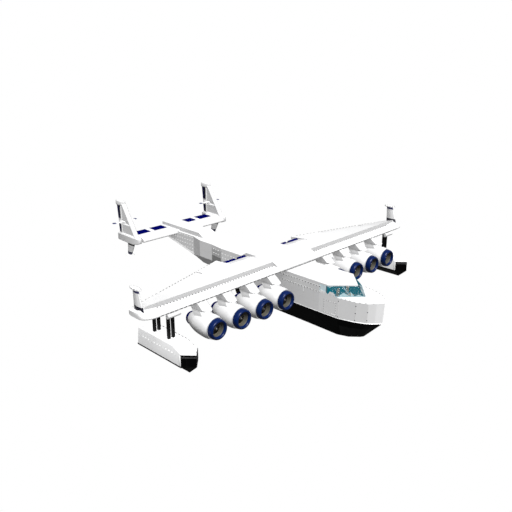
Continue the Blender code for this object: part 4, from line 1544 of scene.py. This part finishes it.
@dataclass
class FlightDeck:
    """The windscreen's panes and posts, the sheets painted as reflections on its lower panes, the seats and the
    instrument panel.

    The front panes are laid out by (share of the way to the centreline, share of the
    height), and the side panes by (distance aft, share of the height). A pad gives its
    name, half width, lowest and highest (distance aft, height) and thin axis.
    """

    foot: float = 6.065
    head: float = 7.27
    half: float = 3.0
    apex: Pair = (-21.59, -20.15)
    corner: Pair = (-18.77, -17.12)
    rear: float = -15.71
    post: Pair = (-16.9, -17.1)
    glass: Pair = (0.0, 0.05)
    veil: Pair = (-0.02, -0.004)
    low_panes: tuple[tuple[Pair, ...], ...] = (
        ((0.03, 0.0), (0.5, 0.0), (0.36, 0.42)), ((0.5, 0.0), (0.62, 0.0), (0.61, 0.5)),
        ((0.57, 0.0), (0.99, 0.0), (0.8, 0.2)),
    )
    seat_out: float = 1.1
    pads: tuple[tuple[str, float, Pair, Pair, int], ...] = (
        ("seat_cushion", 0.42, (-18.55, 4.9), (-17.65, 5.12), 2),
        ("seat_back", 0.38, (-17.66, 5.12), (-17.46, 6.25), 1),
        ("head_rest", 0.2, (-17.64, 6.27), (-17.48, 6.5), 1),
    )
    shell: tuple[Pair, ...] = (
        (-18.6, 4.78), (-17.55, 4.78), (-17.4, 5.0), (-17.32, 6.35), (-17.44, 6.35), (-17.46, 5.1), (-17.62, 4.9),
        (-18.6, 4.9),
    )
    stem: tuple[Pair, ...] = ((-0.28, -18.2), (0.28, -18.2), (0.2, -17.9), (-0.2, -17.9))
    deck: tuple[Pair, ...] = ((-1.9, -18.8), (1.9, -18.8), (1.9, -16.1), (-1.9, -16.1))
    deck_level: float = 4.22
    panel: tuple[Pair, ...] = ((-20.1, 4.22), (-20.1, 5.75), (-19.6, 5.75), (-19.55, 5.68), (-19.75, 4.22))
    dial: tuple[Pair, ...] = ((0.0, 0.0), (0.0, 0.1), (0.05, 0.1), (0.05, 0.085), (0.03, 0.08), (0.03, 0.0))
    dial_pitch: float = 0.3

    def build(self) -> None:
        """Model the flight deck."""
        self.build_panes()
        self.build_seats()
        self.build_cabin()
        self.build_panel()

    def front(self, share: float, rise: float, inset: float) -> Place:
        """Return a place on the port front pane, drawn in by an inset.

        Args:
            share: From 0 at the corner to 1 at the centreline.
            rise: From 0 at the foot to 1 at the head.
            inset: Distance behind the outer face.

        Returns:
            The place.
        """
        aft = lerp(lerp(*self.corner, rise), lerp(*self.apex, rise), share) + inset
        return self.half * (1.0 - share) - inset * 0.6 * (1.0 - share), aft, lerp(self.foot, self.head, rise)

    def side(self, aft: float, rise: float, inset: float) -> Place:
        """Return a place on the port side pane, drawn in by an inset."""
        return self.half - inset, aft, lerp(self.foot, self.head, rise)

    @staticmethod
    def pane(face: Callable[..., Place], corners: Sequence[Pair], insets: Pair) -> Piece:
        """Return a flat pane between two insets from a face."""
        return Bench.loft("pane", [[face(*corner, inset) for corner in corners] for inset in insets])

    def build_panes(self) -> None:
        """Make the teal front panes, the pale side panes and the posts, and lay pale and white sheets over the lower
        panes as painted reflections.
        """
        foot_corner, head_corner = self.corner
        fore, aft = self.post[1], self.post[0]
        whole = ((0.0, 0.0), (1.0, 0.0), (1.0, 1.0), (0.0, 1.0))
        wedge = ((fore, 0.0), (fore, 0.97), (head_corner, 1.0), (foot_corner, 0.0))
        cabin = ((self.rear, 0.0), (self.rear, 1.0), (aft, 1.0), (aft, 0.0))
        side_reflection = ((self.rear - 0.05, 0.02), (self.rear - 0.1, 0.3), (-16.85, 0.2), (-17.2, 0.02))
        wedge_reflection = ((-17.25, 0.02), (-17.6, 0.42), (-18.2, 0.4), (foot_corner + 0.05, 0.02))
        for name, face, shapes, insets, tint, colour, clear in (
            ("windscreen_pane", self.front, (whole,), self.glass, "teal_glass", (0.005, 0.11, 0.15), 0.6),
            ("wedge_pane", self.side, (wedge,), self.glass, "teal_side_glass", (0.01, 0.28, 0.38), 0.25),
            ("side_pane", self.side, (cabin,), self.glass, "pale_side_glass", (0.8, 0.95, 1.0), 0.1),
            # The last two are thin sheets just outside the glass, painted as reflections on the lower front and side
            # panes.
            ("lower_pane", self.front, self.low_panes, self.veil, "pale_lower_glass", (0.3, 0.42, 0.45), 0.35),
            ("milky_pane", self.side, (side_reflection, wedge_reflection), self.veil, "milky_glass", (1.0, 1.0, 1.0), 0.05),
        ):
            panes = [self.pane(face, shape, insets) for shape in shapes]
            node = "windscreen" if name == "windscreen_pane" else ""
            keep_pair(panes, name, SHOP.glass(tint, colour, clear), Slot.GLASS, node=node, angle=0.0)
        post = self.pane(self.side, ((aft, 0.0), (aft, 1.0), (fore, 1.0), (fore, 0.0)), (-0.015, 0.12))
        bar = self.pane(self.front, ((0.48, 0.0), (0.52, 0.0), (0.52, 1.0), (0.48, 1.0)), (0.05, 0.12))
        keep_pair([post, bar], "windscreen_posts", POST_TEAL, Slot.GLASS)

    def build_seats(self) -> None:
        """Make the crew seats: padded cushions and backs in dark shells."""
        for side, sign in SIDES:
            x = sign * self.seat_out
            for name, half, low, high, thin in self.pads:
                pad = self.padding(f"{name}_{side}", (x - half, *low), (x + half, *high), thin)
                keep(pad, COVER, Slot.COVER)
            shell = Bench.bevel(Bench.prism("shell", at_side(self.shell, x - 0.46), (0.92, 0.0, 0.0)), 0.03)
            foot = Bench.bevel(Bench.prism("foot", at_level(self.stem, 4.4, x), (0.0, 0.1, 0.39)), 0.03)
            piece = Bench.smooth(Bench.join(f"seat_shell_{side}", [shell, foot]), 35.0)
            keep(piece, SHELL_BLUE, Slot.COVER, nodes=["pilot_seats"] if sign > 0.0 else [])

    def build_cabin(self) -> None:
        """Line the hollow behind the windscreen and lay the deck."""
        middle = Vector((0.0, -18.3, 4.2))
        ring = [Vector(place) for place in at_level(Bow().inside, self.deck_level)]
        walls = Bench.prism("cabin_lining", [place.lerp(middle, 0.005) for place in ring], (0.0, 0.0, 1.82))
        room = Bench.prism("room", [place.lerp(middle, 0.03) for place in ring], (0.0, 0.0, 3.0))
        keep(Bench.cut(walls, room), LINING, Slot.WHITE)
        deck = Bench.prism("cabin_deck", at_level(self.deck, self.deck_level), (0.0, 0.0, 0.18))
        keep(Bench.bevel(deck, 0.02), PANEL_GREY, Slot.METAL)

    @staticmethod
    def padding(name: str, low: Place, high: Place, thin: int) -> Piece:
        """Return a crowned pad with drawn-in sides that fills a box.

        Args:
            name: Name of the pad.
            low: Lowest corner of the box.
            high: Highest corner of the box.
            thin: Number of the axis across which the pad is thin.

        Returns:
            The pad, at full size.
        """
        Bench.clear()
        middle, size = (Vector(low) + Vector(high)) / 2, Vector(high) - Vector(low)
        bpy.ops.mesh.primitive_cube_add(size=1.0, location=middle)
        piece = Bench.rename(bpy.context.object, name)
        piece.scale = size
        bpy.ops.object.transform_apply(location=True, rotation=True, scale=True)
        bpy.ops.object.mode_set(mode="EDIT")
        bpy.ops.mesh.select_all(action="SELECT")
        bpy.ops.mesh.subdivide(number_cuts=3)
        wide = [axis for axis in range(3) if axis != thin]
        for axis, other in (wide, reversed(wide)):
            for sign in (-1.0, 1.0):
                Bench.pick(piece, lambda place, a=axis, o=other, s=sign: (
                    s * (place[a] - middle[a]) > 0.49 * size[a] and abs(place[o] - middle[o]) < 0.3 * size[o]
                ))
                step = [0.0, 0.0, 0.0]
                step[axis] = -sign * 0.04 * size[axis]
                bpy.ops.transform.translate(value=step)
        Bench.pick(piece, lambda place: any(abs(place[a] - middle[a]) > 0.45 * size[a] for a in wide))
        squash = [1.0, 1.0, 1.0]
        squash[thin] = 0.62
        bpy.ops.transform.resize(value=squash, center_override=middle)
        Bench.clear()
        return Bench.smooth(Bench.modify(piece, "SUBSURF", levels=2, render_levels=2), 60.0)

    def build_panel(self) -> None:
        """Make the instrument panel with its dials and the hood over them."""
        panel = Bench.bevel(Bench.prism("panel", at_side(self.panel, -1.0), (2.0, 0.0, 0.0)), 0.02)
        moves = []
        for row, level in enumerate((5.45, 5.15, 4.85)):
            odd = row % 2
            for column in range(6 - odd):
                x = -0.75 + self.dial_pitch * column + self.dial_pitch / 2 * odd
                moves.append(Matrix.Translation((x, -19.63 - (5.45 - level) * 0.14, level)))
        keep(Bench.smooth(panel, 35.0), PANEL_GREY, Slot.METAL, nodes=["instrument_panel"])
        dials = Bench.join("panel_dials", Bench.spread(Bench.turned("dial", self.dial, 20), moves))
        keep(Bench.smooth(dials, 35.0), METAL, Slot.METAL)


@dataclass
class Tail:
    """The tailplane and the twin fins with pods, bullets, stub planes and lower fins.

    Fin levels give a height and how far aft the nose lies there, and a pod section its
    distance aft, half width, foot and head.
    """

    nose: float = 17.9
    under: float = 6.87
    top: float = 7.62
    rear: float = 22.6
    cove: float = 20.515
    elevator: Pair = (2.125, 8.435)
    span: float = 9.19
    step: float = 0.001
    fin: float = 9.7
    levels: tuple[Pair, ...] = ((7.61, 18.75), (12.9, 22.1), (13.3, 22.6))
    rudder_cove: float = 23.25
    rudders: tuple[Pair, ...] = ((7.705, 9.275), (10.185, 12.635))
    pod: tuple[tuple[float, float, float, float], ...] = (
        (18.12, 0.1, 6.9, 7.45), (18.25, 0.34, 6.72, 7.6), (18.6, 0.47, 6.58, 7.65), (20.0, 0.5, 6.26, 7.66),
        (24.2, 0.5, 6.34, 7.66), (24.38, 0.42, 6.4, 7.6), (24.44, 0.2, 6.6, 7.4),
    )
    bullet: tuple[Pair, ...] = ((21.8, 0.0), (21.88, 0.16), (22.2, 0.3), (22.9, 0.36), (23.8, 0.26), (24.36, 0.0))
    cap: tuple[Pair, ...] = ((12.66, 0.8), (12.8, 1.0), (13.2, 1.0), (13.42, 0.85), (13.54, 0.5))
    cap_ends: Pair = (22.3, 24.7)
    stub_level: float = 9.92
    plate: tuple[Pair, ...] = ((3.96, 0.0), (3.96, 0.7), (4.0, 0.75), (4.06, 0.72), (4.12, 0.0))

    def build(self) -> None:
        """Model both sides of the tail."""
        low, high = self.elevator
        half = [(low - self.step, self.rear), (low, self.cove), (high, self.cove), (high + self.step, self.rear),
                (self.span, self.rear)]
        rings = []
        for x, rear in [*[(-x, rear) for x, rear in reversed(half)], *half]:
            under = lerp(self.under, self.under + 0.2, (rear - self.nose) / (self.rear - self.nose))
            front = rounded_nose(self.nose, self.under, self.top, (0.2, 0.18), (0.7, 0.55))
            rings.append(at_side([*front, (rear, self.top), (rear, under)], x))
        skin = Bench.smooth(Bench.loft("tailplane_skin", rings), 32.0)
        keep(skin, WHITE, Slot.WHITE, nodes=["tailplane"])
        keep_pair([self.build_fin()], "fin_blade", WHITE, Slot.WHITE, node="fin_{}", angle=20.0)
        plate = Bench.turned_up("plate", self.plate, 32, self.fin, 21.6)
        for pieces, name, finish in (
            ([self.build_pod()], "fin_pod", WHITE_PLAIN), (self.build_ribs(), "fin_ribs", WHITE_PLAIN),
            ([self.build_bullet(), self.build_cap()], "fin_bullet", WHITE_PLAIN),
            ([self.build_stub()], "stub_plane", STUB_PAINT), ([self.build_lower()], "lower_fin", LOWER_FIN_PAINT),
            ([plate], "lower_fin_plate", STRIP_WHITE),
        ):
            keep_pair(pieces, name, finish, Slot.WHITE)

    def fin_nose(self, level: float) -> float:
        """Return how far aft the fin's leading edge lies at a height.

        Args:
            level: The height.

        Returns:
            The distance aft.
        """
        (low, near), (middle, far), (high, end) = self.levels
        if level <= middle:
            return lerp(near, far, (level - low) / (middle - low))
        return lerp(far, end, (level - middle) / (high - middle))

    def build_fin(self) -> Piece:
        """Return the port fin, cut back for the rudders.

        Returns:
            The fin, at full size.
        """
        (low_foot, low_head), (high_foot, high_head) = self.rudders
        step, cove = self.step, self.rudder_cove
        rings = []
        for level, rear in (
            (7.61, 24.2), (low_foot - step, 24.2), (low_foot, cove), (low_head, cove), (low_head + step, 24.32),
            (high_foot - step, 24.36), (high_foot, cove), (high_head, cove), (high_head + step, 24.62),
            (12.9, 24.66), (13.12, 24.66),
        ):
            nose = self.fin_nose(level)
            edge = 0.26 if rear == cove else 0.07
            side = [(0.24, nose + 0.1), (0.44, nose + 0.4), (0.44, nose + 0.56), (0.28, nose + 0.64), (edge, rear)]
            rings.append(at_level(both_sides(nose, side), level, self.fin))
        return Bench.loft("fin", rings)

    def build_ribs(self) -> list[Piece]:
        """Return the ribs along the rudders and across the port fin.

        Returns:
            The ribs, at full size.
        """
        ribs = []
        cove = self.rudder_cove
        for sign in (-1.0, 1.0):
            upright = [(sign * x, cove + aft) for x, aft in ((0.2, -0.36), (0.38, -0.2), (0.38, -0.04), (0.2, -0.02))]
            for low, high in self.rudders:
                ribs.append(Bench.prism("rib", at_level(upright, low, self.fin), (0.0, 0.0, high - low)))
            for level in (7.68, 9.45):
                nose = self.fin_nose(level) + 0.5
                level_rib = [(sign * x, level + up) for x, up in ((0.2, 0.0), (0.4, 0.02), (0.24, 0.2), (0.2, 0.22))]
                ribs.append(Bench.prism("rib", at_frame(level_rib, nose, self.fin), (0.0, cove - 0.1 - nose, 0.0)))
        return ribs

    def build_pod(self) -> Piece:
        """Return the pod under the port fin.

        Returns:
            The pod, at full size.
        """
        rings = []
        for aft, half, low, high in self.pod:
            step = min(0.12, half * 0.4)
            ring = [(half, low + step), (half, high - step), (half - step, high), (step - half, high),
                    (-half, high - step), (-half, low + step), (step - half, low), (half - step, low)]
            rings.append(at_frame(ring, aft, self.fin))
        return Bench.loft("pod", rings)

    def build_bullet(self) -> Piece:
        """Return the bullet where the stub planes cross the fin."""
        return Bench.turned("bullet", curve_through(self.bullet, 3), 24, self.fin, 9.7)

    def build_cap(self) -> Piece:
        """Return the rounded cap over the upper rudder.

        Returns:
            The cap, at full size.
        """
        front, rear = self.cap_ends
        rings = []
        for level, share in self.cap:
            reach = (rear - front) / 2 * lerp(0.8, 1.0, share)
            ring = []
            for i in range(16):
                sine, cosine = math.sin(math.tau * i / 16), math.cos(math.tau * i / 16)
                across = math.copysign(abs(sine) ** 0.7, sine) * 0.46 * share
                ring.append((across, (front + rear) / 2 + math.copysign(abs(cosine) ** 0.7, cosine) * reach))
            rings.append(at_level(ring, level, self.fin))
        return Bench.loft("cap", rings)

    def build_stub(self) -> Piece:
        """Return the thin plane across the port fin.

        Returns:
            The plane, at full size.
        """
        rings = []
        level = self.stub_level
        for x, share in ((-2.4, 0.5), (-2.32, 0.85), (-2.1, 1.0), (2.1, 1.0), (2.32, 0.85), (2.4, 0.5)):
            nose, rear = lerp(22.6, 22.2, share), lerp(22.6, 23.0, share)
            thick = 0.06 * share
            line = [(nose, level), (nose + 0.1 * share, level + thick), (nose + 0.4 * share, level + thick),
                    (rear, level + 0.01), (rear, level - 0.01), (nose + 0.3 * share, level - thick)]
            rings.append(at_side(line, self.fin + x))
        return Bench.loft("stub", rings)

    def build_lower(self) -> Piece:
        """Return the fin below the port pod.

        Returns:
            The fin, at full size.
        """
        rings = []
        for level, nose, rear in ((6.4, 19.9, 22.0), (5.2, 20.5, 22.1), (4.1, 21.1, 22.2)):
            side = [(0.09, nose + 0.04), (0.2, nose + 0.3), (0.2, nose + 0.6 * (rear - nose)), (0.05, rear)]
            rings.append(at_level(both_sides(nose, side), level, self.fin))
        return Bench.loft("lower", rings)


@dataclass
class AftBody:
    """Rows of small plates, the strakes and the aft end of the hull's step."""

    levels: tuple[float, ...] = (7.22, 6.52, 5.82, 5.12, 4.6)
    pitch: float = 0.68
    half_long: float = 0.13
    half_tall: float = 0.07
    proud: float = 0.045
    step_start: float = 0.9
    step_long: float = 1.75
    step: tuple[Pair, ...] = ((-2.0, 0.0), (2.0, 0.0), (2.985, 2.88), (-2.985, 2.88))
    strake: tuple[Place, ...] = ((13.4, 1.95, 4.15), (20.2, 1.95, 5.68), (22.8, 1.9, 6.27))

    def build(self) -> None:
        """Set the plates on both sides, extend the step and lay the strakes along the tail."""
        wedge = ((0.0, -self.half_tall), (self.proud, -self.half_tall), (0.0, self.half_tall))
        plate = Bench.prism("plate", at_frame(wedge, -self.half_long), (0.0, 2 * self.half_long, 0.0))
        keep_pair(Bench.spread(plate, self.plate_moves()), "aft_side_plates", STRIP_WHITE, Slot.WHITE)
        heel = Bench.prism("hull_step", at_frame(self.step, self.step_start), (0.0, self.step_long, 0.0))
        keep(Bench.smooth(Bench.bevel(heel, 0.04), 35.0), BLACK, Slot.BLACK)
        rings = []
        for aft, half, edge in self.strake:
            section = [(half - 0.05, edge), (half + 0.05, edge), (half + 0.05, edge + 0.1), (half - 0.01, edge + 0.26)]
            rings.append(at_frame(section, aft))
        keep_pair([Bench.loft("strake", rings)], "tail_strake", STRIP_WHITE, Slot.WHITE)

    def plate_moves(self) -> list[Matrix]:
        """Return where the plates go on the port side, turned to lie against it.

        Returns:
            A move from the origin for each plate.
        """
        spots = []
        for i in range(10):
            aft = 13.75 + self.pitch * i
            edge = lerp(4.15, 5.68, (aft - 13.4) / 6.8)
            spots += [(1.945, aft, level, 0.0) for level in self.levels if level > edge + 0.35]
        for aft in (5.95, 6.6, 7.25):
            half = lerp(3.0, 2.65, (aft - 5.0) / 2.8)
            spots += [(half - 0.003, aft, level, math.atan2(0.35, 2.8)) for level in (6.9, 6.2)]
        for i in range(9):
            spots += [(2.995, -0.7 + self.pitch * i, level, 0.0) for level in (6.65, 5.95)]
        return [Matrix.Translation(place) @ Matrix.Rotation(turn, 4, "Z") for *place, turn in spots]


@dataclass
class Floats:
    """The floats' upper hulls, the winglets and small things on them and the flaps.

    A hull section gives its distance aft, height of deck and share of the width, and a
    winglet section its height, nose, rear and half thickness.
    """

    middle: float = 23.88
    half: float = 1.46
    chine: float = 1.35
    winglet: float = 27.66
    hull: tuple[Place, ...] = (
        (-2.9, 3.6, 0.96), (-2.97, 3.7, 1.0), (-10.3, 3.7, 1.0), (-10.36, 3.685, 1.0), (-11.96, 3.11, 1.0),
        (-12.0, 3.05, 0.98),
    )
    shoulder: float = -12.0
    tip: float = -13.5
    post: tuple[Pair, ...] = ((1.42, 0.0), (1.42, 0.1), (1.5, 0.14), (2.88, 0.14), (2.96, 0.1), (2.96, 0.0))
    plate_level: float = 2.8
    plate_pitch: float = 0.62
    blade: tuple[tuple[float, float, float, float], ...] = (
        (8.15, -8.35, -6.3, 0.25), (8.9, -8.1, -6.27, 0.23), (11.05, -7.4, -6.2, 0.18),
    )
    flap_edge: tuple[Pair, ...] = ((-1.95, 7.98), (-1.4, 8.2), (-1.28, 8.16), (-1.26, 7.84))

    def build(self) -> None:
        """Model the upper hulls and winglets, then add the strips and plates and the grey strips painted as highlights
        on the bows, on both sides.
        """
        for skin, name in ((self.build_float(), "float"), (self.build_winglet(), "winglet")):
            finish = FLOAT_WHITE if name == "float" else WINGLET_PAINT
            keep_pair([skin], f"{name}_skin", finish, Slot.WHITE, node=name + "_{}", angle=0.0)
        chines, plates, posts = [], [], []
        for way in (1.0, -1.0):
            x = self.middle + way * self.half
            strip = ((x, 1.27), (x + way * 0.03, 1.27), (x + way * 0.03, 1.45), (x, 1.45))
            chines.append(Bench.prism("chine", at_frame(strip, -2.92), (0.0, -9.05, 0.0)))
            posts.append(Bench.turned_up("post", self.post, 16, x - way * 0.08, -11.93))
            plates += [self.build_plate(x - way * 0.13, way, number) for number in range(13)]
        keep_pair(chines, "float_chine_strip", BLACK_PLAIN, Slot.BLACK)
        keep_pair([*plates, *posts], "float_side_plates", STRIP_WHITE, Slot.WHITE)
        # Grey strips along the top edges of the black bows are painted highlights.
        bow_highlights = [self.build_band(way) for way in (1.0, -1.0)]
        keep_pair(bow_highlights, "float_bow_band", BOW_HIGHLIGHT_GREY, Slot.BLACK)
        self.build_flap_edges()

    def build_plate(self, face: float, way: float, number: int) -> Piece:
        """Return a small plate of the row along a side of the port float.

        Args:
            face: Distance to port of the side.
            way: 1 on the outer side, -1 on the inner one.
            number: Number of the plate, from the rear.

        Returns:
            The plate, at full size.
        """
        aft = -3.5 - self.plate_pitch * number
        half_long, half_tall = (0.13, 0.08) if number % 4 else (0.06, 0.16)
        low, high = self.plate_level - half_tall, self.plate_level + half_tall
        wedge = ((face, low), (face + way * 0.1, low), (face, high))
        return Bench.prism("plate", at_frame(wedge, aft - half_long), (0.0, 2 * half_long, 0.0))

    def build_band(self, way: float) -> Piece:
        """Return the grey strip along one edge of the port float's black bow, painted as a highlight on that edge.

        Args:
            way: 1 on the outer side, -1 on the inner one.

        Returns:
            The painted highlight, at full size.
        """
        rings = []
        for x, aft in ((self.middle + way * self.half, self.shoulder), (self.middle, self.tip)):
            rings.append(at_side([(aft + 0.06, 2.94), (aft - 0.03, 2.62), (aft + 0.06, 2.6)], x))
        return Bench.loft("band", rings)

    def build_float(self) -> Piece:
        """Return the port float's upper hull, whose sides lean in a little.

        Returns:
            The hull, at full size.
        """
        rings = []
        for aft, deck, share in self.hull:
            top = self.half - 0.2 * (deck - self.chine) / 2.35
            side = [(self.half, self.chine), (top + 0.02, deck - 0.14), (top - 0.02, deck - 0.05), (top - 0.12, deck)]
            outline = [*side, *[(-across, level) for across, level in reversed(side)]]
            rings.append(at_frame([(across * share, level) for across, level in outline], aft, self.middle))
        hull = Bench.smooth(Bench.loft("hull", rings), 25.0)
        rings = []
        for level, share in ((2.98, 1.0), (3.04, 1.0), (3.08, 0.97)):
            plan = [(1.44 * share, -11.95), (0.0, -11.95 - 1.53 * share), (-1.44 * share, -11.95)]
            rings.append(at_level(plan, level, self.middle))
        return Bench.join("hull", [hull, Bench.loft("cap", rings)])

    def build_winglet(self) -> Piece:
        """Return the port winglet with its end plate.

        Returns:
            The winglet, at full size.
        """
        rings = []
        for level, nose, rear, half in self.blade:
            chord = rear - nose
            side = [(half * 0.45, nose + 0.06 * chord), (half * 0.85, nose + 0.3 * chord), (half, nose + 0.55 * chord),
                    (0.03, rear)]
            rings.append(at_level(both_sides(nose, side), level, self.winglet))
        plate = []
        for level, share in ((11.0, 0.9), (11.04, 1.0), (11.14, 1.0), (11.19, 0.9)):
            turns = [math.tau * i / 32 for i in range(32)]
            plan = [(0.42 * share * math.sin(turn), -6.8 + 1.1 * share * math.cos(turn)) for turn in turns]
            plate.append(at_level(plan, level, self.winglet))
        return Bench.smooth(Bench.join("winglet", [Bench.loft("blade", rings), Bench.loft("plate", plate)]), 25.0)

    def build_flap_edges(self) -> None:
        """Fix the navy edge strips on the flaps."""
        for name, inner, outer in (("inner", 3.85, 5.5), ("outer", 6.1, 8.36)):
            edge = Bench.bevel(Bench.prism("edge", at_side(self.flap_edge, inner), (outer - inner, 0.0, 0.0)), 0.02)
            body = f"moving_flap_{name}_" + "{}"
            keep_pair([edge], f"flap_edge_{name}", NAVY, Slot.NAVY, body, angle=35.0)


@dataclass
class Trim:
    """Low rails of short grey pieces along the edges of the bow, the floats, the wing and the tail."""

    pitch: float = 0.62
    long: float = 0.3
    wide: float = 0.06
    tall: float = 0.08

    def build(self) -> None:
        """Lay the rails."""
        bow, floats = Bow(), Floats()
        inner = floats.middle - 1.2
        turns = [math.tau * i / 12 for i in range(13)]
        for name, line in {
            "bow_rail": [(x * 0.985, aft + 0.04, bow.head - 0.03) for x, aft in bow.sill[1:5]],
            "float_inner_rail": [
                (inner, -2.95, 3.69), (inner, -10.3, 3.69), (inner, -11.95, 3.07), (23.8, -13.4, 3.07),
            ],
            "wing_rear_rail": [self.rear(9.3), self.rear(13.45)],
            "wing_tip_rail": [self.rear(22.35), self.rear(26.4)],
            "tail_nose_rail": [(2.3, 17.93, 6.93), (9.0, 17.93, 6.93)],
            "winglet_plate_rail": [
                (floats.winglet + 0.4 * math.sin(turn), -6.8 + 1.06 * math.cos(turn), 11.14) for turn in turns
            ],
        }.items():
            keep_pair(self.row(line), name, DASH_GREY if name == "tail_nose_rail" else RAIL_GREY, Slot.WHITE)
        rail = self.row([self.rear(13.75), self.rear(22.05)])
        keep_pair(rail, "aileron_rail", RAIL_GREY, Slot.WHITE, "moving_aileron_{}", angle=0.0)

    @staticmethod
    def rear(x: float) -> Place:
        """Return a place just ahead of the wing's trailing edge."""
        wing = Wing()
        return x, wing.trail(x) - 0.08, wing.trail_top(x) - 0.01

    def row(self, line: Sequence[Place]) -> list[Piece]:
        """Return short pieces with sloping sides along a line of places.

        Args:
            line: Places along the rail.

        Returns:
            The pieces, at full size.
        """
        pieces = []
        for start, end in zip(line, line[1:]):
            near, run = Vector(start), Vector(end) - Vector(start)
            count = max(1, int(run.length / self.pitch))
            way = run.normalized()
            side = way.cross(UP).normalized() * self.wide / 2
            rise = UP * self.tall
            for i in range(count):
                foot = near + run * ((i + 0.2) / count)
                section = [foot - side, foot + side, foot + side * 0.4 + rise, foot - side * 0.4 + rise]
                pieces.append(Bench.prism("rail", section, way * min(self.long, run.length * 0.6)))
        return pieces


@dataclass
class Solids:
    """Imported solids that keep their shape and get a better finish.

    "{}" in a name stands for the side.
    """

    finishes: tuple[tuple[str, Finish], ...] = (
        ("flight_deck_roof", WHITE), ("tail_spine", WHITE), ("aileron_{}", WHITE), ("hull_bottom", BLACK),
        ("float_bottom_{}", BLACK), ("float_struts_{}", STRUT_PAINT), ("flap_inner_{}", FLAP_PAINT),
        ("flap_outer_{}", FLAP_PAINT), ("elevator_{}", NAVY_SKIN), ("rudder_lower_{}", RUDDER_PAINT),
        ("rudder_upper_{}", RUDDER_PAINT), ("fuselage_mid", AFT_PAINT_AND_SHADE), ("fuselage_aft", AFT_PAINT_AND_SHADE),
    )

    def build(self) -> None:
        """Dress every solid that stays."""
        for name, finish in self.finishes:
            for side, _ in SIDES if "{}" in name else SIDES[:1]:
                dress(name.format(side), finish)


@dataclass
class Studio:
    """The white studio, its lights and the camera."""

    target: Place = (0.0, 0.0, 3.35)
    back: Place = (-2 / 3, -2 / 3, 1 / 3)
    distance: float = 50.0
    lens: float = 43.456
    key: Place = (-0.3, -0.5, 1.0)
    key_power: float = 4.6
    ambient: float = 0.2

    def build(self) -> None:
        """Set the floor, the lights, the world and the camera."""
        self.build_floor()
        self.build_lights()
        self.build_camera()

    def build_floor(self) -> None:
        """Lay a wide floor, which the camera sees as pure white."""
        Bench.clear()
        bpy.ops.mesh.primitive_plane_add(size=600.0, location=(0.0, 0.0, -0.002))
        floor = bpy.context.object
        floor.name = "studio_floor"
        made, wires, shader = PaintShop.blank("studio_white")
        wires.fill(shader, {"Base Color": (0.12, 0.12, 0.12, 1.0), "Roughness": 1.0, "Specular IOR Level": 0.0})
        mixer = wires.node("ShaderNodeMixShader")
        seen = wires.node("ShaderNodeLightPath").outputs["Is Camera Ray"]
        glow = wires.node("ShaderNodeEmission").outputs[0]
        for socket, value in zip(mixer.inputs, (seen, shader.outputs[0], glow)):
            wires.feed(socket, value)
        wires.feed(made.node_tree.nodes["Material Output"].inputs["Surface"], mixer.outputs[0])
        floor.data.materials.append(made)

    def build_lights(self) -> None:
        """Set the key light and the soft light from all round."""
        for name, share, shadow in (("key_open", 0.85, False), ("key_soft", 0.15, True)):
            data = bpy.data.lights.new(name, "SUN")
            data.energy = self.key_power * share
            data.angle = math.radians(25.0)
            data.use_shadow = shadow
            self.place(name, data, self.key)
        world = bpy.data.worlds.new("studio_air")
        world.use_nodes = True
        wires = Wires(world.node_tree)
        seen = wires.node("ShaderNodeLightPath").outputs["Is Camera Ray"]
        wires.fill(world.node_tree.nodes["Background"], {
            "Color": (1.0, 1.0, 1.0, 1.0), "Strength": wires.ramp(seen, 0.0, 1.0, self.ambient, 1.0),
        })
        bpy.context.scene.world = world
        bpy.context.scene.view_settings.view_transform = "Standard"

    def build_camera(self) -> None:
        """Set the camera at the photograph's angle."""
        data = bpy.data.cameras.new("camera")
        data.lens = self.lens
        data.sensor_width = 36.0
        data.clip_end = 1000.0
        camera = self.place("camera", data, self.back)
        camera.location = Vector(self.target) + Vector(self.back) * self.distance
        bpy.context.scene.camera = camera

    @staticmethod
    def place(name: str, data: bpy.types.ID, back: Place) -> Piece:
        """Add a light or a camera that looks along the reverse of a direction.

        Args:
            name: Its name.
            data: The light or the camera.
            back: The direction from the scene towards it.

        Returns:
            The new object.
        """
        made = bpy.data.objects.new(name, data)
        made.rotation_euler = Vector(back).to_track_quat("Z", "Y").to_euler()
        bpy.context.scene.collection.objects.link(made)
        return made


def main() -> None:
    """Build the sub-assemblies in order."""
    logging.basicConfig(level=logging.INFO, format="%(message)s")
    for part in (Studio(), Solids(), Bow(), FlightDeck(), EngineRow(), Wing(), Tail(), AftBody(), Floats(), Trim()):
        part.build()
        LOG.info("%s done", type(part).__name__)
    Bench.clear()


if __name__ == "__main__":
    main()
